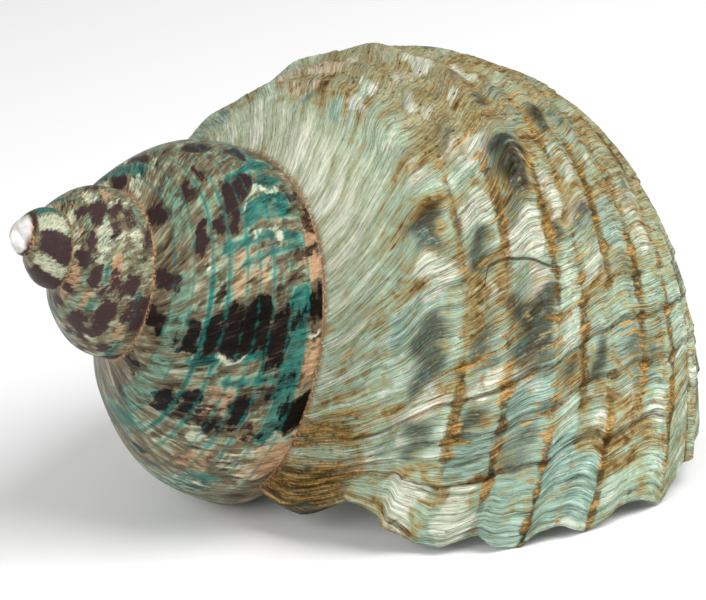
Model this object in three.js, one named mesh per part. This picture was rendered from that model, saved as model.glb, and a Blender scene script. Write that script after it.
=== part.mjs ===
// Turban shell: the coiled shell of a large sea snail, one hollow piece that is open at its mouth.
// Every size grows by the same factor in each turn, so the outside is one section carried along a spiral.
// A place on the outside has two coordinates. Stage is the angle of growth in degrees, up to the lip.
// Across runs from the upper suture, 0, over the whorl to the lower suture, 1, and over the base to the axis, 2.
import * as THREE from 'three';

// Driving dimensions, in millimetres and degrees
const SUTURE_RADIUS = 33;
const TURN_GROWTH = 2.123;
const AXIAL_EXPONENT = 0.976;
const FIRST_STAGE = -1042;
const LIP_STAGE = 368;
const SUTURE_STEP = 300;
const BASE_START = LIP_STAGE - SUTURE_STEP;
const SUTURE = 0;
const AXIS = 2;

// The section: across, distance from the axis and distance below the apex, both over the local size
const SECTION = [
  [0.0, 0.471, 0.798],
  [0.262, 0.719, 0.942],
  [0.649, 0.975, 1.28],
  [1.0, 1.0, 1.664],
  [1.165, 0.905, 1.82],
  [1.47, 0.64, 2.03],
  [1.73, 0.37, 2.17],
  [1.9, 0.2, 2.22],
  [2.0, 0.09, 2.17],
];

// Growth lines lean: they lie ahead at the upper suture and lag on the base
const LEAN = 34;
const SUTURE_SWEEP = 26;

// The mesh: degrees between columns, rows over a whorl at each age, and how far before the lip each age begins
const COLUMN_STEP = 6;
const EARLY_ROWS = 6;
const MIDDLE_ROWS = 12;
const MIDDLE_AGE = 660;
const COLUMELLA_ROWS = 10;

// The worn tip: heights of its rings in degrees of a quarter circle, and its height over its radius
const TIP_RINGS = [22.5, 45, 67.5];
const TIP_HEIGHT = 0.5;

// Spiral cords: across of the crest, half width and height over the local size
const CORDS = [
  [0.3, 0.05, 0.02],
  [0.45, 0.03, 0.014],
  [0.565, 0.04, 0.022],
  [0.665, 0.024, 0.013],
  [0.745, 0.028, 0.017],
  [0.835, 0.028, 0.014],
  [0.935, 0.032, 0.016],
  [1.035, 0.03, 0.013],
  [1.125, 0.028, 0.012],
  [1.215, 0.028, 0.011],
  [1.31, 0.028, 0.009],
  [1.41, 0.028, 0.007],
  [1.51, 0.028, 0.005],
];

// Knobs: stage, across and height over the local size
const KNOBS = [
  [303, 0.575, 0.055],
  [329, 0.58, 0.045],
  [352, 0.565, 0.024],
  [278, 0.56, 0.022],
  [254, 0.56, 0.02],
  [230, 0.56, 0.02],
  [206, 0.56, 0.02],
  [182, 0.56, 0.02],
  [158, 0.56, 0.018],
  [321, 0.31, 0.034],
  [343, 0.31, 0.034],
  [299, 0.3, 0.024],
  [273, 0.31, 0.016],
  [248, 0.31, 0.014],
  [224, 0.31, 0.014],
  [200, 0.31, 0.014],
  [176, 0.31, 0.014],
  [152, 0.31, 0.014],
];
const KNOB_LENGTH = 7;
const KNOB_WIDTH = 0.058;
const GROOVE_DEPTH = 0.018;

// Where the relief comes in with growth, and where it starts and fades over the whorl
const RELIEF_STAGES = [110, 210];
const GROOVE_ACROSS = [0.18, 0.32];
const LEDGE_ACROSS = [0.03, 0.2];
const TOP_ACROSS = [0, 0.1];
const AXIS_ACROSS = [1.55, 1.9];

// Low swelling of the base beside the mouth: stage, across, half length, half width and height
const SWELLING = [105, 1.03, 50, 0.2, 0.026];
const SWELLING_FULL = 95;

// Growth ledges, where the lip once paused: stage and height over the local size
const LEDGES = [
  [356, 0.012],
  [334, 0.008],
  [317, 0.007],
  [291, 0.009],
  [243, 0.008],
];
const LEDGE_LENGTH = 7;

// The lip's edge: a bay beside the suture, then scallops. Across, and how far it reaches past the last stage
const LIP_EDGE = [
  [0, 0],
  [0.06, -1],
  [0.12, -6],
  [0.19, -10],
  [0.23, -9],
  [0.29, -6],
  [0.31, -3],
  [0.39, 1.2],
  [0.45, 1.8],
  [0.52, 0],
  [0.56, 2],
  [0.63, 3.8],
  [0.66, 1.4],
  [0.72, 1.5],
  [0.79, 4],
  [0.85, 1.5],
  [0.92, 1.5],
  [0.99, 4],
  [1.04, -1],
  [1.12, 1],
  [1.2, -0.5],
  [1.3, 0.8],
  [1.4, 0],
  [4, 0],
];
const EDGE_START = 340;

// How many points find the middle of the growing edge
const MIDDLE_SAMPLES = 40;

// Wall thickness over the local size, and what is added at places along the growing edge
const WALL = 0.036;
const PARIETAL_THINNER = 0.016;
const PARIETAL_IN = [3.2, 3.5];
const PARIETAL_OUT = [3.8, 4];
const THICKER = [
  [0, 0.05, 0.16],
  [2, 0.04, 0.28],
  [2.5, 0.055, 0.55],
  [3, 0.06, 0.3],
];

// The hollow: its loops begin at CAVITY_START degrees behind the lip, and the wall is thick from DEEP_START on
const CAVITY_START = 10;
const CAVITY_LENGTH = 420;
const CAVITY_STEP = 12;
const CAVITY_SIDES = 20;
const DEEP_START = 60;
const DEEP_WALL = 1.5;

// Its blind end: width of each ring over the last loop, and depth over the last step, then the depth of the tip
const BLIND_END = [
  [0.8, 0.9],
  [0.45, 1.6],
];
const BLIND_TIP = 1.9;

// Where round the edge the wall leans off the whorl before
const CORNER_OUT = [0, 0.25];
const CORNER_IN = [3.2, 3.7];

// The rounded rim of the mouth: stage past the lip, share of the wall and share of the relief
const RIM = [
  [0.25, 0.45, 1],
  [-0.4, 0.85, 0.7],
  [-3.5, 1, 0.4],
];

// How it rests, mouth down: the upward direction in the coil's own frame, a turn, and the apex's place
const REST_UP = new THREE.Vector3(0.039, 0.8527, 0.521).normalize();
const REST_TURN = -60;
const APEX_PLACE = new THREE.Vector3(-64.61, -24.49, 71.33);

const growthRate = Math.log(TURN_GROWTH) / 360;
const smoothStep = (low, high, x) => THREE.MathUtils.smoothstep(x, low, high);
const bell = (x) => Math.exp(-x * x);

// Size of the shell at an angle of the spiral
function localSize(angle) {
  return SUTURE_RADIUS * Math.exp(growthRate * angle);
}

// How far the growth line lies ahead of its stage, in degrees
function lead(across) {
  return LEAN * (1 - across) + SUTURE_SWEEP * Math.max(1 - across, 0) ** 3;
}

// Slope of the section at one of its points
function sectionSlope(i, column) {
  const before = SECTION[Math.max(i - 1, 0)];
  const after = SECTION[Math.min(i + 1, SECTION.length - 1)];
  return (after[column] - before[column]) / (after[0] - before[0]);
}

// Smooth curve through the section's points
function sectionAt(across, column) {
  let i = 0;
  while (i < SECTION.length - 2 && across >= SECTION[i + 1][0]) i += 1;
  const length = SECTION[i + 1][0] - SECTION[i][0];
  const s = (across - SECTION[i][0]) / length;
  const start = SECTION[i][column] * (2 * s ** 3 - 3 * s ** 2 + 1);
  const end = SECTION[i + 1][column] * (3 * s ** 2 - 2 * s ** 3);
  const startSlope = sectionSlope(i, column) * length * (s ** 3 - 2 * s ** 2 + s);
  const endSlope = sectionSlope(i + 1, column) * length * (s ** 3 - s ** 2);
  return start + end + startSlope + endSlope;
}

// Place on the smooth outside, without relief
function plainPoint(stage, across) {
  const angle = stage + lead(across);
  const turn = THREE.MathUtils.degToRad(angle);
  const radius = localSize(angle) * sectionAt(across, 1);
  const depth = localSize(AXIAL_EXPONENT * angle) * sectionAt(across, 2);
  return new THREE.Vector3(radius * Math.cos(turn), -radius * Math.sin(turn), -depth);
}

// Direction that points out of the smooth outside
function outward(stage, across) {
  const along = plainPoint(stage + 0.5, across).sub(plainPoint(stage - 0.5, across));
  const low = Math.max(across - 0.004, 0);
  const high = Math.min(across + 0.004, 2);
  const over = plainPoint(stage, high).sub(plainPoint(stage, low));
  return along.cross(over).normalize();
}

// Height of cords, knobs and ledges over the smooth outside, over the local size
function relief(stage, across) {
  const grown = smoothStep(...RELIEF_STAGES, stage);
  let height = -GROOVE_DEPTH * grown * smoothStep(...GROOVE_ACROSS, across);
  for (const [crest, width, rise] of CORDS) {
    height += rise * grown * bell((across - crest) / width);
  }
  for (const [place, crest, rise] of KNOBS) {
    height += rise * bell((stage - place) / KNOB_LENGTH) * bell((across - crest) / KNOB_WIDTH);
  }
  for (const [edge, rise] of LEDGES) {
    const behind = (edge - stage) / LEDGE_LENGTH;
    if (behind > 0) height += rise * Math.exp(-behind) * smoothStep(...LEDGE_ACROSS, across);
  }
  const [place, crest, length, width, rise] = SWELLING;
  const started = smoothStep(BASE_START, SWELLING_FULL, stage);
  height += rise * started * bell((stage - place) / length) * bell((across - crest) / width);
  return height * smoothStep(...TOP_ACROSS, across) * (1 - smoothStep(...AXIS_ACROSS, across));
}

// How far the growing edge reaches past its stage, in degrees: fully at the lip, less and less behind it
function lipReach(stage, across) {
  const i = LIP_EDGE.findIndex(([mark]) => mark > across);
  const [low, lowReach] = LIP_EDGE[i - 1];
  const [high, highReach] = LIP_EDGE[i];
  const reach = lowReach + ((highReach - lowReach) * (across - low)) / (high - low);
  return reach * smoothStep(EDGE_START, LIP_STAGE, stage);
}

// Place on the real outside, with a share of the relief
function outsidePoint(stage, across, share = 1) {
  const place = stage + lipReach(stage, across);
  const height = share * relief(stage, across) * localSize(stage + lead(across));
  return plainPoint(place, across).addScaledVector(outward(place, across), height);
}

// The growing edge is a loop: round runs 0 to 1 over the whorl, to 2 over the base,
// to 3 up the columella and to 4 along the whorl of one turn before
function edgePoint(stage, round, share) {
  if (round < 2) return outsidePoint(stage, round, share);
  const before = stage - SUTURE_STEP;
  if (round < 3) return plainPoint(stage, AXIS).lerp(plainPoint(before, AXIS), round - 2);
  return plainPoint(before, 5 - round);
}

// Evenly spaced numbers from low to high, both ends included
function steps(low, high, count) {
  return Array.from({ length: count + 1 }, (_, i) => low + ((high - low) * i) / count);
}

// Middle of the growing edge, weighted by length
function edgeMiddle(stage) {
  const loop = steps(0, 4, MIDDLE_SAMPLES).slice(0, -1).map((round) => edgePoint(stage, round, 0));
  const middle = new THREE.Vector3();
  let total = 0;
  loop.forEach((point, i) => {
    const next = loop[(i + 1) % loop.length];
    const length = point.distanceTo(next);
    middle.addScaledVector(point.clone().add(next), length / 2);
    total += length;
  });
  return middle.divideScalar(total);
}

// Wall thickness along the growing edge, over the local size
function wallAt(round) {
  const parietal = smoothStep(...PARIETAL_IN, round) * (1 - smoothStep(...PARIETAL_OUT, round));
  let thickness = WALL - PARIETAL_THINNER * parietal;
  for (const [place, extra, width] of THICKER) {
    const away = Math.abs(((((round - place + 2) % 4) + 4) % 4) - 2);
    thickness += extra * bell(away / width);
  }
  return thickness;
}

// Direction from the growing edge into the hollow: to its middle, and off the whorl before where it meets that
function inward(stage, round, point, middle) {
  const onWhorlBefore = round < 3 ? 1 - smoothStep(...CORNER_OUT, round) : smoothStep(...CORNER_IN, round);
  const across = round < 3 ? 1 : 5 - round;
  const direction = middle.clone().sub(point).normalize();
  return direction.addScaledVector(outward(stage - SUTURE_STEP, across), onWhorlBefore).normalize();
}

// A loop of the inner wall, set in from the growing edge
function innerLoop(stage, rounds, wallShare, reliefShare) {
  const middle = edgeMiddle(stage);
  return rounds.map((round) => {
    const point = edgePoint(stage, round, reliefShare);
    const thickness = wallAt(round) * wallShare * localSize(stage);
    return point.addScaledVector(inward(stage, round, point, middle), thickness);
  });
}

// Points and triangles of the closed surface
const points = [];
const triangles = [];

function addPoint(point) {
  points.push(point);
  return points.length - 1;
}

function addRow(row) {
  return row.map(addPoint);
}

function addTriangle(a, b, c) {
  if (a !== b && b !== c && c !== a) triangles.push(a, b, c);
}

// Triangles between two rows of points, each with the parameters of its points
function sew(first, firstAt, second, secondAt) {
  let i = 0;
  let j = 0;
  while (i < first.length - 1 || j < second.length - 1) {
    const firstNext = i < first.length - 1 ? firstAt[i] + firstAt[i + 1] : Infinity;
    const secondNext = j < second.length - 1 ? secondAt[j] + secondAt[j + 1] : Infinity;
    if (firstNext <= secondNext) {
      addTriangle(first[i], second[j], first[i + 1]);
      i += 1;
    } else {
      addTriangle(first[i], second[j], second[j + 1]);
      j += 1;
    }
  }
}

// The same between two closed loops, whose parameter starts again after 4
function sewLoops(first, firstAt, second, secondAt) {
  const close = (row) => [...row, row[0]];
  const closeAt = (at) => [...at, at[0] + 4];
  sew(close(first), closeAt(firstAt), close(second), closeAt(secondAt));
}

// Rows over the whorl, on each cord's crest and in the groove beside it
function cordRows(low, high) {
  const crests = CORDS.map(([crest]) => crest).filter((crest) => crest > low && crest < high);
  const marks = [low, ...crests, high];
  return marks.flatMap((mark, i) => (i === 0 ? [mark] : [(marks[i - 1] + mark) / 2, mark]));
}

const columnCount = Math.round((LIP_STAGE - FIRST_STAGE) / COLUMN_STEP);
const stages = steps(LIP_STAGE - columnCount * COLUMN_STEP, LIP_STAGE, columnCount);
const turnColumns = SUTURE_STEP / COLUMN_STEP;

const earlyRows = steps(0, 1, EARLY_ROWS);
const middleRows = steps(0, 1, MIDDLE_ROWS);
const lastRows = [0, 0.06, 0.12, 0.18, ...cordRows(0.225, 1).filter((row) => row > 0.2)];
const baseRows = [...cordRows(1, 1.56), 1.66, 1.78, 1.9, 2];

// The suture is one line of points: the foot of each whorl is the top of the next
const suture = addRow(stages.map((stage) => outsidePoint(stage, SUTURE)));
const openFoot = addRow(stages.slice(-turnColumns).map((stage) => outsidePoint(stage, 1)));
const foot = [...suture.slice(turnColumns), ...openFoot];

// One column of points over the whorl, from the suture to its foot
function whorlColumn(i, rows) {
  const between = rows.slice(1, -1).map((across) => outsidePoint(stages[i], across));
  return [suture[i], ...addRow(between), foot[i]];
}

// The whorls, in stretches whose columns have more rows as the shell grows
function makeWhorls() {
  const middleStart = Math.round((LIP_STAGE - MIDDLE_AGE - stages[0]) / COLUMN_STEP);
  const lastStart = Math.round((BASE_START - stages[0]) / COLUMN_STEP);
  const rowsAt = (i) => (i < middleStart ? earlyRows : i < lastStart ? middleRows : lastRows);
  const firstColumn = whorlColumn(0, rowsAt(0));
  let column = firstColumn;
  for (let i = 1; i < stages.length; i += 1) {
    const next = whorlColumn(i, rowsAt(i));
    sew(column, rowsAt(i - 1), next, rowsAt(i));
    column = next;
  }
  return { firstColumn, lipColumn: column };
}

// The base of the last whorl, from the foot of the whorl to the axis
function makeBase() {
  const columns = stages.slice(-turnColumns - 1).map((stage, i) => {
    const below = baseRows.slice(1).map((across) => outsidePoint(stage, across));
    return [foot[foot.length - turnColumns - 1 + i], ...addRow(below)];
  });
  columns.slice(1).forEach((column, i) => sew(columns[i], baseRows, column, baseRows));
  return columns;
}

// The columella's edge, straight between the two ends of the base's inner line, and the strip that closes it
function makeColumella(baseColumns) {
  const inner = baseColumns.map((column) => column.at(-1));
  const top = points[inner[0]];
  const bottom = points[inner.at(-1)];
  const at = steps(0, 1, COLUMELLA_ROWS);
  const between = at.slice(1, -1).map((share) => top.clone().lerp(bottom, share));
  const edge = [inner[0], ...addRow(between), inner.at(-1)];
  sew(edge, at, inner, steps(0, 1, inner.length - 1));
  return { edge, at };
}

// The rim of the mouth and the hollow behind it, down to its blind end
function makeHollow(outline, outlineAt) {
  let loop = outline;
  let at = outlineAt;
  for (const [past, wallShare, reliefShare] of RIM) {
    const next = addRow(innerLoop(LIP_STAGE + past, outlineAt, wallShare, reliefShare));
    sewLoops(loop, at, next, outlineAt);
    loop = next;
  }
  const sides = steps(0, 4, CAVITY_SIDES).slice(0, -1);
  const stops = steps(CAVITY_START, CAVITY_LENGTH, Math.round(CAVITY_LENGTH / CAVITY_STEP));
  for (const depth of stops) {
    const wallShare = 1 + (DEEP_WALL - 1) * Math.min(1, depth / DEEP_START);
    const next = addRow(innerLoop(LIP_STAGE - depth, sides, wallShare, 0));
    sewLoops(loop, at, next, sides);
    loop = next;
    at = sides;
  }
  const end = edgeMiddle(LIP_STAGE - CAVITY_LENGTH);
  const back = edgeMiddle(LIP_STAGE - CAVITY_LENGTH - CAVITY_STEP).sub(end);
  const rim = loop.map((index) => points[index].clone());
  for (const [width, depth] of BLIND_END) {
    const next = addRow(rim.map((p) => end.clone().lerp(p, width).addScaledVector(back, depth)));
    sewLoops(loop, sides, next, sides);
    loop = next;
  }
  sewLoops(loop, sides, [addPoint(end.clone().addScaledVector(back, BLIND_TIP))], [0]);
}

// The worn, rounded tip over the first whorl
function makeApex(firstColumn) {
  const outline = [...firstColumn, ...suture.slice(1, turnColumns).reverse()];
  const at = steps(0, 4, outline.length).slice(0, -1);
  const rim = outline.map((index) => points[index].clone());
  const middle = rim.reduce((sum, p) => sum.add(p), new THREE.Vector3()).divideScalar(rim.length);
  const radius = rim.reduce((sum, p) => sum + p.distanceTo(middle), 0) / rim.length;
  let loop = outline;
  for (const slope of TIP_RINGS.map(THREE.MathUtils.degToRad)) {
    const lift = TIP_HEIGHT * radius * Math.sin(slope);
    const next = addRow(rim.map((p) => {
      const point = middle.clone().lerp(p, Math.cos(slope));
      point.z += lift;
      return point;
    }));
    sewLoops(next, at, loop, at);
    loop = next;
  }
  const top = middle.clone();
  top.z += TIP_HEIGHT * radius;
  sewLoops([addPoint(top)], [0], loop, at);
}

function makeShellGeometry() {
  const { firstColumn, lipColumn } = makeWhorls();
  const baseColumns = makeBase();
  const columella = makeColumella(baseColumns);
  const outline = [
    ...lipColumn,
    ...baseColumns.at(-1).slice(1),
    ...columella.edge.slice(0, -1).reverse(),
    ...baseColumns[0].slice(1, -1).reverse(),
  ];
  const outlineAt = [
    ...lastRows,
    ...baseRows.slice(1),
    ...columella.at.slice(1).map((share) => 2 + share),
    ...baseRows.slice(1, -1).map((across) => 5 - across).reverse(),
  ];
  makeHollow(outline, outlineAt);
  makeApex(firstColumn);
  const geometry = new THREE.BufferGeometry();
  const positions = points.flatMap((point) => point.toArray());
  geometry.setAttribute('position', new THREE.Float32BufferAttribute(positions, 3));
  geometry.setIndex(triangles);
  geometry.computeVertexNormals();
  return geometry;
}

function makeShell() {
  const material = new THREE.MeshStandardMaterial({ color: 0x93a48c, roughness: 0.5, metalness: 0 });
  const shell = new THREE.Mesh(makeShellGeometry(), material);
  shell.name = 'shell';
  const turn = new THREE.Quaternion().setFromAxisAngle(
    new THREE.Vector3(0, 0, 1),
    THREE.MathUtils.degToRad(REST_TURN),
  );
  const tilt = new THREE.Quaternion().setFromUnitVectors(REST_UP, new THREE.Vector3(0, 0, 1));
  shell.quaternion.copy(turn.multiply(tilt));
  shell.position.copy(APEX_PLACE);
  return shell;
}

const group = new THREE.Group();
group.add(makeShell());

export default group;
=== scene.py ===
"""Turban shell: its visible surface and finish, worked out as whole arrays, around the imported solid."""

import bpy
import numpy as np
from mathutils import Matrix, Vector


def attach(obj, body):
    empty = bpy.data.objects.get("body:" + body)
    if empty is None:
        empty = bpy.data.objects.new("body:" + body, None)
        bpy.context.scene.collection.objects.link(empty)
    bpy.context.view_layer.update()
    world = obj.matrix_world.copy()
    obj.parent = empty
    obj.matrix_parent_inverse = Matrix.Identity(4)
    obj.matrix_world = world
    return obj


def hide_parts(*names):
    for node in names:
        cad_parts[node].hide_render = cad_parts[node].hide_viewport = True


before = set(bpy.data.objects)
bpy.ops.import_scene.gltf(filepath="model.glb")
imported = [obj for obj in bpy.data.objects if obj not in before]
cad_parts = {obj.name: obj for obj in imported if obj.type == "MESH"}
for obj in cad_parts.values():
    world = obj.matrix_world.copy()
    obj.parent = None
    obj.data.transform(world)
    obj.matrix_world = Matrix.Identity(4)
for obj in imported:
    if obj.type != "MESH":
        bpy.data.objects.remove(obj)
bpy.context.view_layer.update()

# Driving dimensions, in millimetres and degrees, the same as in the solid
SUTURE_RADIUS = 33.0
TURN_GROWTH = 2.123
AXIAL_EXPONENT = 0.976
FIRST_STAGE = -1042.0
LIP_STAGE = 368.0
SUTURE_STEP = 300.0
BASE_START = LIP_STAGE - SUTURE_STEP
FRONT_START = 170.0
AXIS = 2.0
LEAN = 34.0
SUTURE_SWEEP = 26.0

# The section: across, distance from the axis and distance below the apex, both over the local size
SECTION = np.array([
    (0.0, 0.471, 0.798),
    (0.262, 0.719, 0.942),
    (0.649, 0.975, 1.28),
    (1.0, 1.0, 1.664),
    (1.165, 0.905, 1.82),
    (1.47, 0.64, 2.03),
    (1.73, 0.37, 2.17),
    (1.9, 0.2, 2.22),
    (2.0, 0.09, 2.17),
])

# Spiral cords: across of the crest, half width and height over the local size
CORDS = [
    (0.3, 0.05, 0.02), (0.45, 0.03, 0.014), (0.565, 0.04, 0.022), (0.665, 0.024, 0.013),
    (0.745, 0.028, 0.017), (0.835, 0.028, 0.014), (0.935, 0.032, 0.016), (1.035, 0.03, 0.013),
    (1.125, 0.028, 0.012), (1.215, 0.028, 0.011), (1.31, 0.028, 0.009), (1.41, 0.028, 0.007),
    (1.51, 0.028, 0.005),
]

# Knobs: stage, across and height over the local size
KNOBS = [
    (303, 0.575, 0.055), (329, 0.58, 0.045), (352, 0.565, 0.024), (278, 0.56, 0.022),
    *((place, 0.56, 0.02) for place in (254, 230, 206, 182)), (158, 0.56, 0.018),
    (321, 0.31, 0.034), (343, 0.31, 0.034), (299, 0.3, 0.024), (273, 0.31, 0.016),
    *((place, 0.31, 0.014) for place in (248, 224, 200, 176, 152)),
]
KNOB_LENGTH = 7.0
KNOB_WIDTH = 0.058
GROOVE_DEPTH = 0.018
SWELLING = (105, 1.03, 50, 0.2, 0.026)

# Growth ledges, where the lip once paused: growth stage and height over the local size
LEDGES = [
    (356, 0.010), (351, 0.006), (348, 0.007), (341, 0.008), (334, 0.008), (317, 0.007), (291, 0.008),
    (243, 0.006), (216, 0.006),
]
LEDGE_LENGTH = 4.5

# The lip's edge: across, and how far it reaches past the last stage
LIP_EDGE = np.array([
    (0, 0), (0.06, -1), (0.12, -6), (0.19, -10), (0.23, -9), (0.29, -6), (0.31, -3), (0.39, 1.2),
    (0.45, 1.8), (0.52, 0), (0.56, 2), (0.63, 3.8), (0.66, 1.4), (0.72, 1.5), (0.79, 4), (0.85, 1.5),
    (0.92, 1.5), (0.99, 4), (1.04, -1), (1.12, 1), (1.2, -0.5), (1.3, 0.8), (1.4, 0), (4, 0),
])
EDGE_START = 340.0

# Wall thickness over the local size, and what is added at places round the growing edge
WALL = 0.036
PARIETAL_THINNER = 0.016
THICKER = [(0, 0.05, 0.16), (2, 0.04, 0.28), (2.5, 0.055, 0.55), (3, 0.06, 0.3)]
RIM = [(0.25, 0.45, 1.0), (-0.4, 0.85, 0.7), (-3.5, 1.0, 0.4)]
DEEP_WALL = 1.5
CAVITY_START = 10.0
CAVITY_LENGTH = 420.0
CAVITY_LOOPS = 56
CAVITY_SIDES = 72
CAVITY_END = [(0.93, 0.4), (0.8, 0.9), (0.45, 1.6)]
CAVITY_TIP = 1.9
COLUMELLA_POINTS = 25

# How it rests, mouth down: the upward direction in the coil's own frame, a turn, and the apex's place
REST_UP = Vector((0.039, 0.8527, 0.521)).normalized()
REST_TURN = np.radians(-60.0)
APEX_PLACE = np.array([-64.61, -24.49, 71.33])

GROWTH_RATE = np.log(TURN_GROWTH) / 360.0

# The worn tip: slopes of its rings, its height over its radius, and the depth down to which it is white
TIP_SLOPES = [15, 30, 45, 60, 75]
TIP_HEIGHT = 0.5
TIP_DEPTH = 5.3


def bell(x):
    """A bump of height one: e to the minus x squared."""
    return np.exp(-x * x)


def smooth(low, high, x):
    """A soft step from 0 at low to 1 at high."""
    t = np.clip((x - low) / (high - low), 0.0, 1.0)
    return t * t * (3.0 - 2.0 * t)


def local_size(angle):
    """Size of the shell at an angle of the spiral: it grows by the same factor each turn."""
    return SUTURE_RADIUS * np.exp(GROWTH_RATE * angle)


def grown_share(stage):
    """Share of the grown shell's relief: none on the spire, all of it on the last whorl."""
    return smooth(110, 210, stage)


def body_share(stage):
    """Share of the worn body's finish: none on the polished spire, all of it on the last whorl."""
    return smooth(62, 150, stage)


def lead(across):
    """How far the growth line lies ahead of its stage, in degrees."""
    return LEAN * (1 - across) + SUTURE_SWEEP * np.maximum(1 - across, 0) ** 3


def section(across, column):
    """Cubic curve through the section's points, with slopes taken from their neighbours."""
    x = SECTION[:, 0]
    y = SECTION[:, column]
    index = np.arange(len(x))
    low = np.maximum(index - 1, 0)
    high = np.minimum(index + 1, len(x) - 1)
    slope = (y[high] - y[low]) / (x[high] - x[low])
    i = np.clip(np.searchsorted(x, across, side="right") - 1, 0, len(x) - 2)
    length = x[i + 1] - x[i]
    s = (across - x[i]) / length
    ends = y[i] * (2 * s**3 - 3 * s**2 + 1) + y[i + 1] * (3 * s**2 - 2 * s**3)
    return ends + length * (slope[i] * (s**3 - 2 * s**2 + s) + slope[i + 1] * (s**3 - s**2))


def plain_point(stage, across):
    """Smooth outside: the section turned by the angle of the spiral and scaled by the size there."""
    angle = stage + lead(across)
    turn = np.radians(angle)
    radius = local_size(angle) * section(across, 1)
    depth = local_size(AXIAL_EXPONENT * angle) * section(across, 2)
    return np.stack([radius * np.cos(turn), -radius * np.sin(turn), -depth], -1)


def outward(stage, across):
    """Unit normal of the smooth outside: along the coil crossed with over the section."""
    along = plain_point(stage + 0.5, across) - plain_point(stage - 0.5, across)
    below = plain_point(stage, np.minimum(across + 0.004, AXIS))
    over = below - plain_point(stage, np.maximum(across - 0.004, 0))
    normal = np.cross(along, over)
    return normal / np.linalg.norm(normal, axis=-1, keepdims=True)


def cord_height(across):
    """Height of the spiral cords: one bell over each crest."""
    return sum(rise * bell((across - crest) / width) for crest, width, rise in CORDS)


def knob_height(stage, across):
    """Height of the knobs: a bell along the coil times a bell over the whorl for each."""
    return sum(
        rise * bell((stage - place) / KNOB_LENGTH) * bell((across - crest) / KNOB_WIDTH)
        for place, crest, rise in KNOBS
    )


def drift(stage, across):
    """Slow waves of the growth lines, in degrees: a sum of sines along and over the coil."""
    wave = 0.5 * np.sin(17 * across + stage / 13) + 0.22 * np.sin(41 * across - stage / 7.3 + 1.1)
    return wave + 0.7 * np.sin(8.3 * across + stage / 31 + 2.3) + 0.1 * np.sin(83 * across + stage / 3.7)


def growth(stage, across):
    """Stage of the growth line through a place: the lines lag over cords and knobs, and waver."""
    grown = grown_share(stage)
    lag = 15 * cord_height(across) * grown + 50 * knob_height(stage, across)
    return stage + lag + drift(stage, across) * (0.35 + 0.65 * grown) * smooth(0, 0.08, across)


def lamellae(line):
    """Height of fine growth ledges: each rises slowly to its edge and drops sharply after it."""
    rng = np.random.default_rng(11)
    edges = np.cumsum(rng.uniform(1.5, 4.6, 130)) - 20
    heights = rng.uniform(0.0006, 0.0026, edges.size)
    total = np.zeros_like(line)
    for edge, rise in zip(edges, heights):
        behind = (edge - line) / 2.2
        total += rise * np.where(behind > 0, np.exp(-np.maximum(behind, 0)), 0)
    return total


def relief(stage, across):
    """Height over the smooth outside: grooves, cords, knobs, ledges, lamellae and the base's swelling."""
    grown = grown_share(stage)
    line = growth(stage, across)
    height = -GROOVE_DEPTH * grown * smooth(0.18, 0.32, across)
    height = height + grown * cord_height(across) + knob_height(stage, across)
    for edge, rise in LEDGES:
        behind = (edge - line) / LEDGE_LENGTH
        drop = np.where(behind > 0, np.exp(-np.maximum(behind, 0)), 0)
        height = height + rise * drop * smooth(0.03, 0.2, across)
    height = height + lamellae(line) * grown * smooth(0, 0.1, across)
    place, crest, length, width, rise = SWELLING
    started = smooth(BASE_START, 95, stage)
    height = height + rise * started * bell((stage - place) / length) * bell((across - crest) / width)
    return height * smooth(0, 0.1, across) * (1 - smooth(1.55, 1.9, across))


def lip_reach(stage, across):
    """How far the growing edge reaches past its stage, in degrees: fully at the lip, less behind it."""
    return np.interp(across, LIP_EDGE[:, 0], LIP_EDGE[:, 1]) * smooth(EDGE_START, LIP_STAGE, stage)


def outside_point(stage, across, share=1.0):
    """Real outside: the smooth outside lifted along its normal by a share of the relief."""
    stage, across = np.broadcast_arrays(stage, across)
    place = stage + lip_reach(stage, across)
    height = share * relief(stage, across) * local_size(stage + lead(across))
    return plain_point(place, across) + outward(place, across) * height[..., None]


def edge_point(stage, rounds, share=1.0):
    """The growing edge as a loop: over whorl and base, up the columella, back over the whorl before."""
    before = stage - SUTURE_STEP
    over = outside_point(np.full_like(rounds, stage), np.clip(rounds, 0, AXIS), share)
    bottom = plain_point(np.array(stage), np.array(AXIS))
    top = plain_point(np.array(before), np.array(AXIS))
    column = bottom + (top - bottom) * np.clip(rounds - 2, 0, 1)[:, None]
    back = plain_point(np.full_like(rounds, before), np.clip(5 - rounds, 1, AXIS))
    loop = np.where((rounds < 2)[:, None], over, column)
    return np.where((rounds < 3)[:, None], loop, back)


def edge_middle(stage):
    """Middle of the growing edge, weighted by length."""
    loop = edge_point(stage, np.linspace(0, 4, 160, endpoint=False), 0.0)
    after = np.roll(loop, -1, axis=0)
    length = np.linalg.norm(after - loop, axis=1)[:, None]
    return ((loop + after) / 2 * length).sum(0) / length.sum()


def wall_at(rounds):
    """Wall thickness round the growing edge, over the local size: even, with bells at its corners."""
    parietal = smooth(3.2, 3.5, rounds) * (1 - smooth(3.8, 4, rounds))
    thickness = WALL - PARIETAL_THINNER * parietal
    for place, extra, width in THICKER:
        away = np.abs((rounds - place + 2) % 4 - 2)
        thickness = thickness + extra * bell(away / width)
    return thickness


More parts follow.
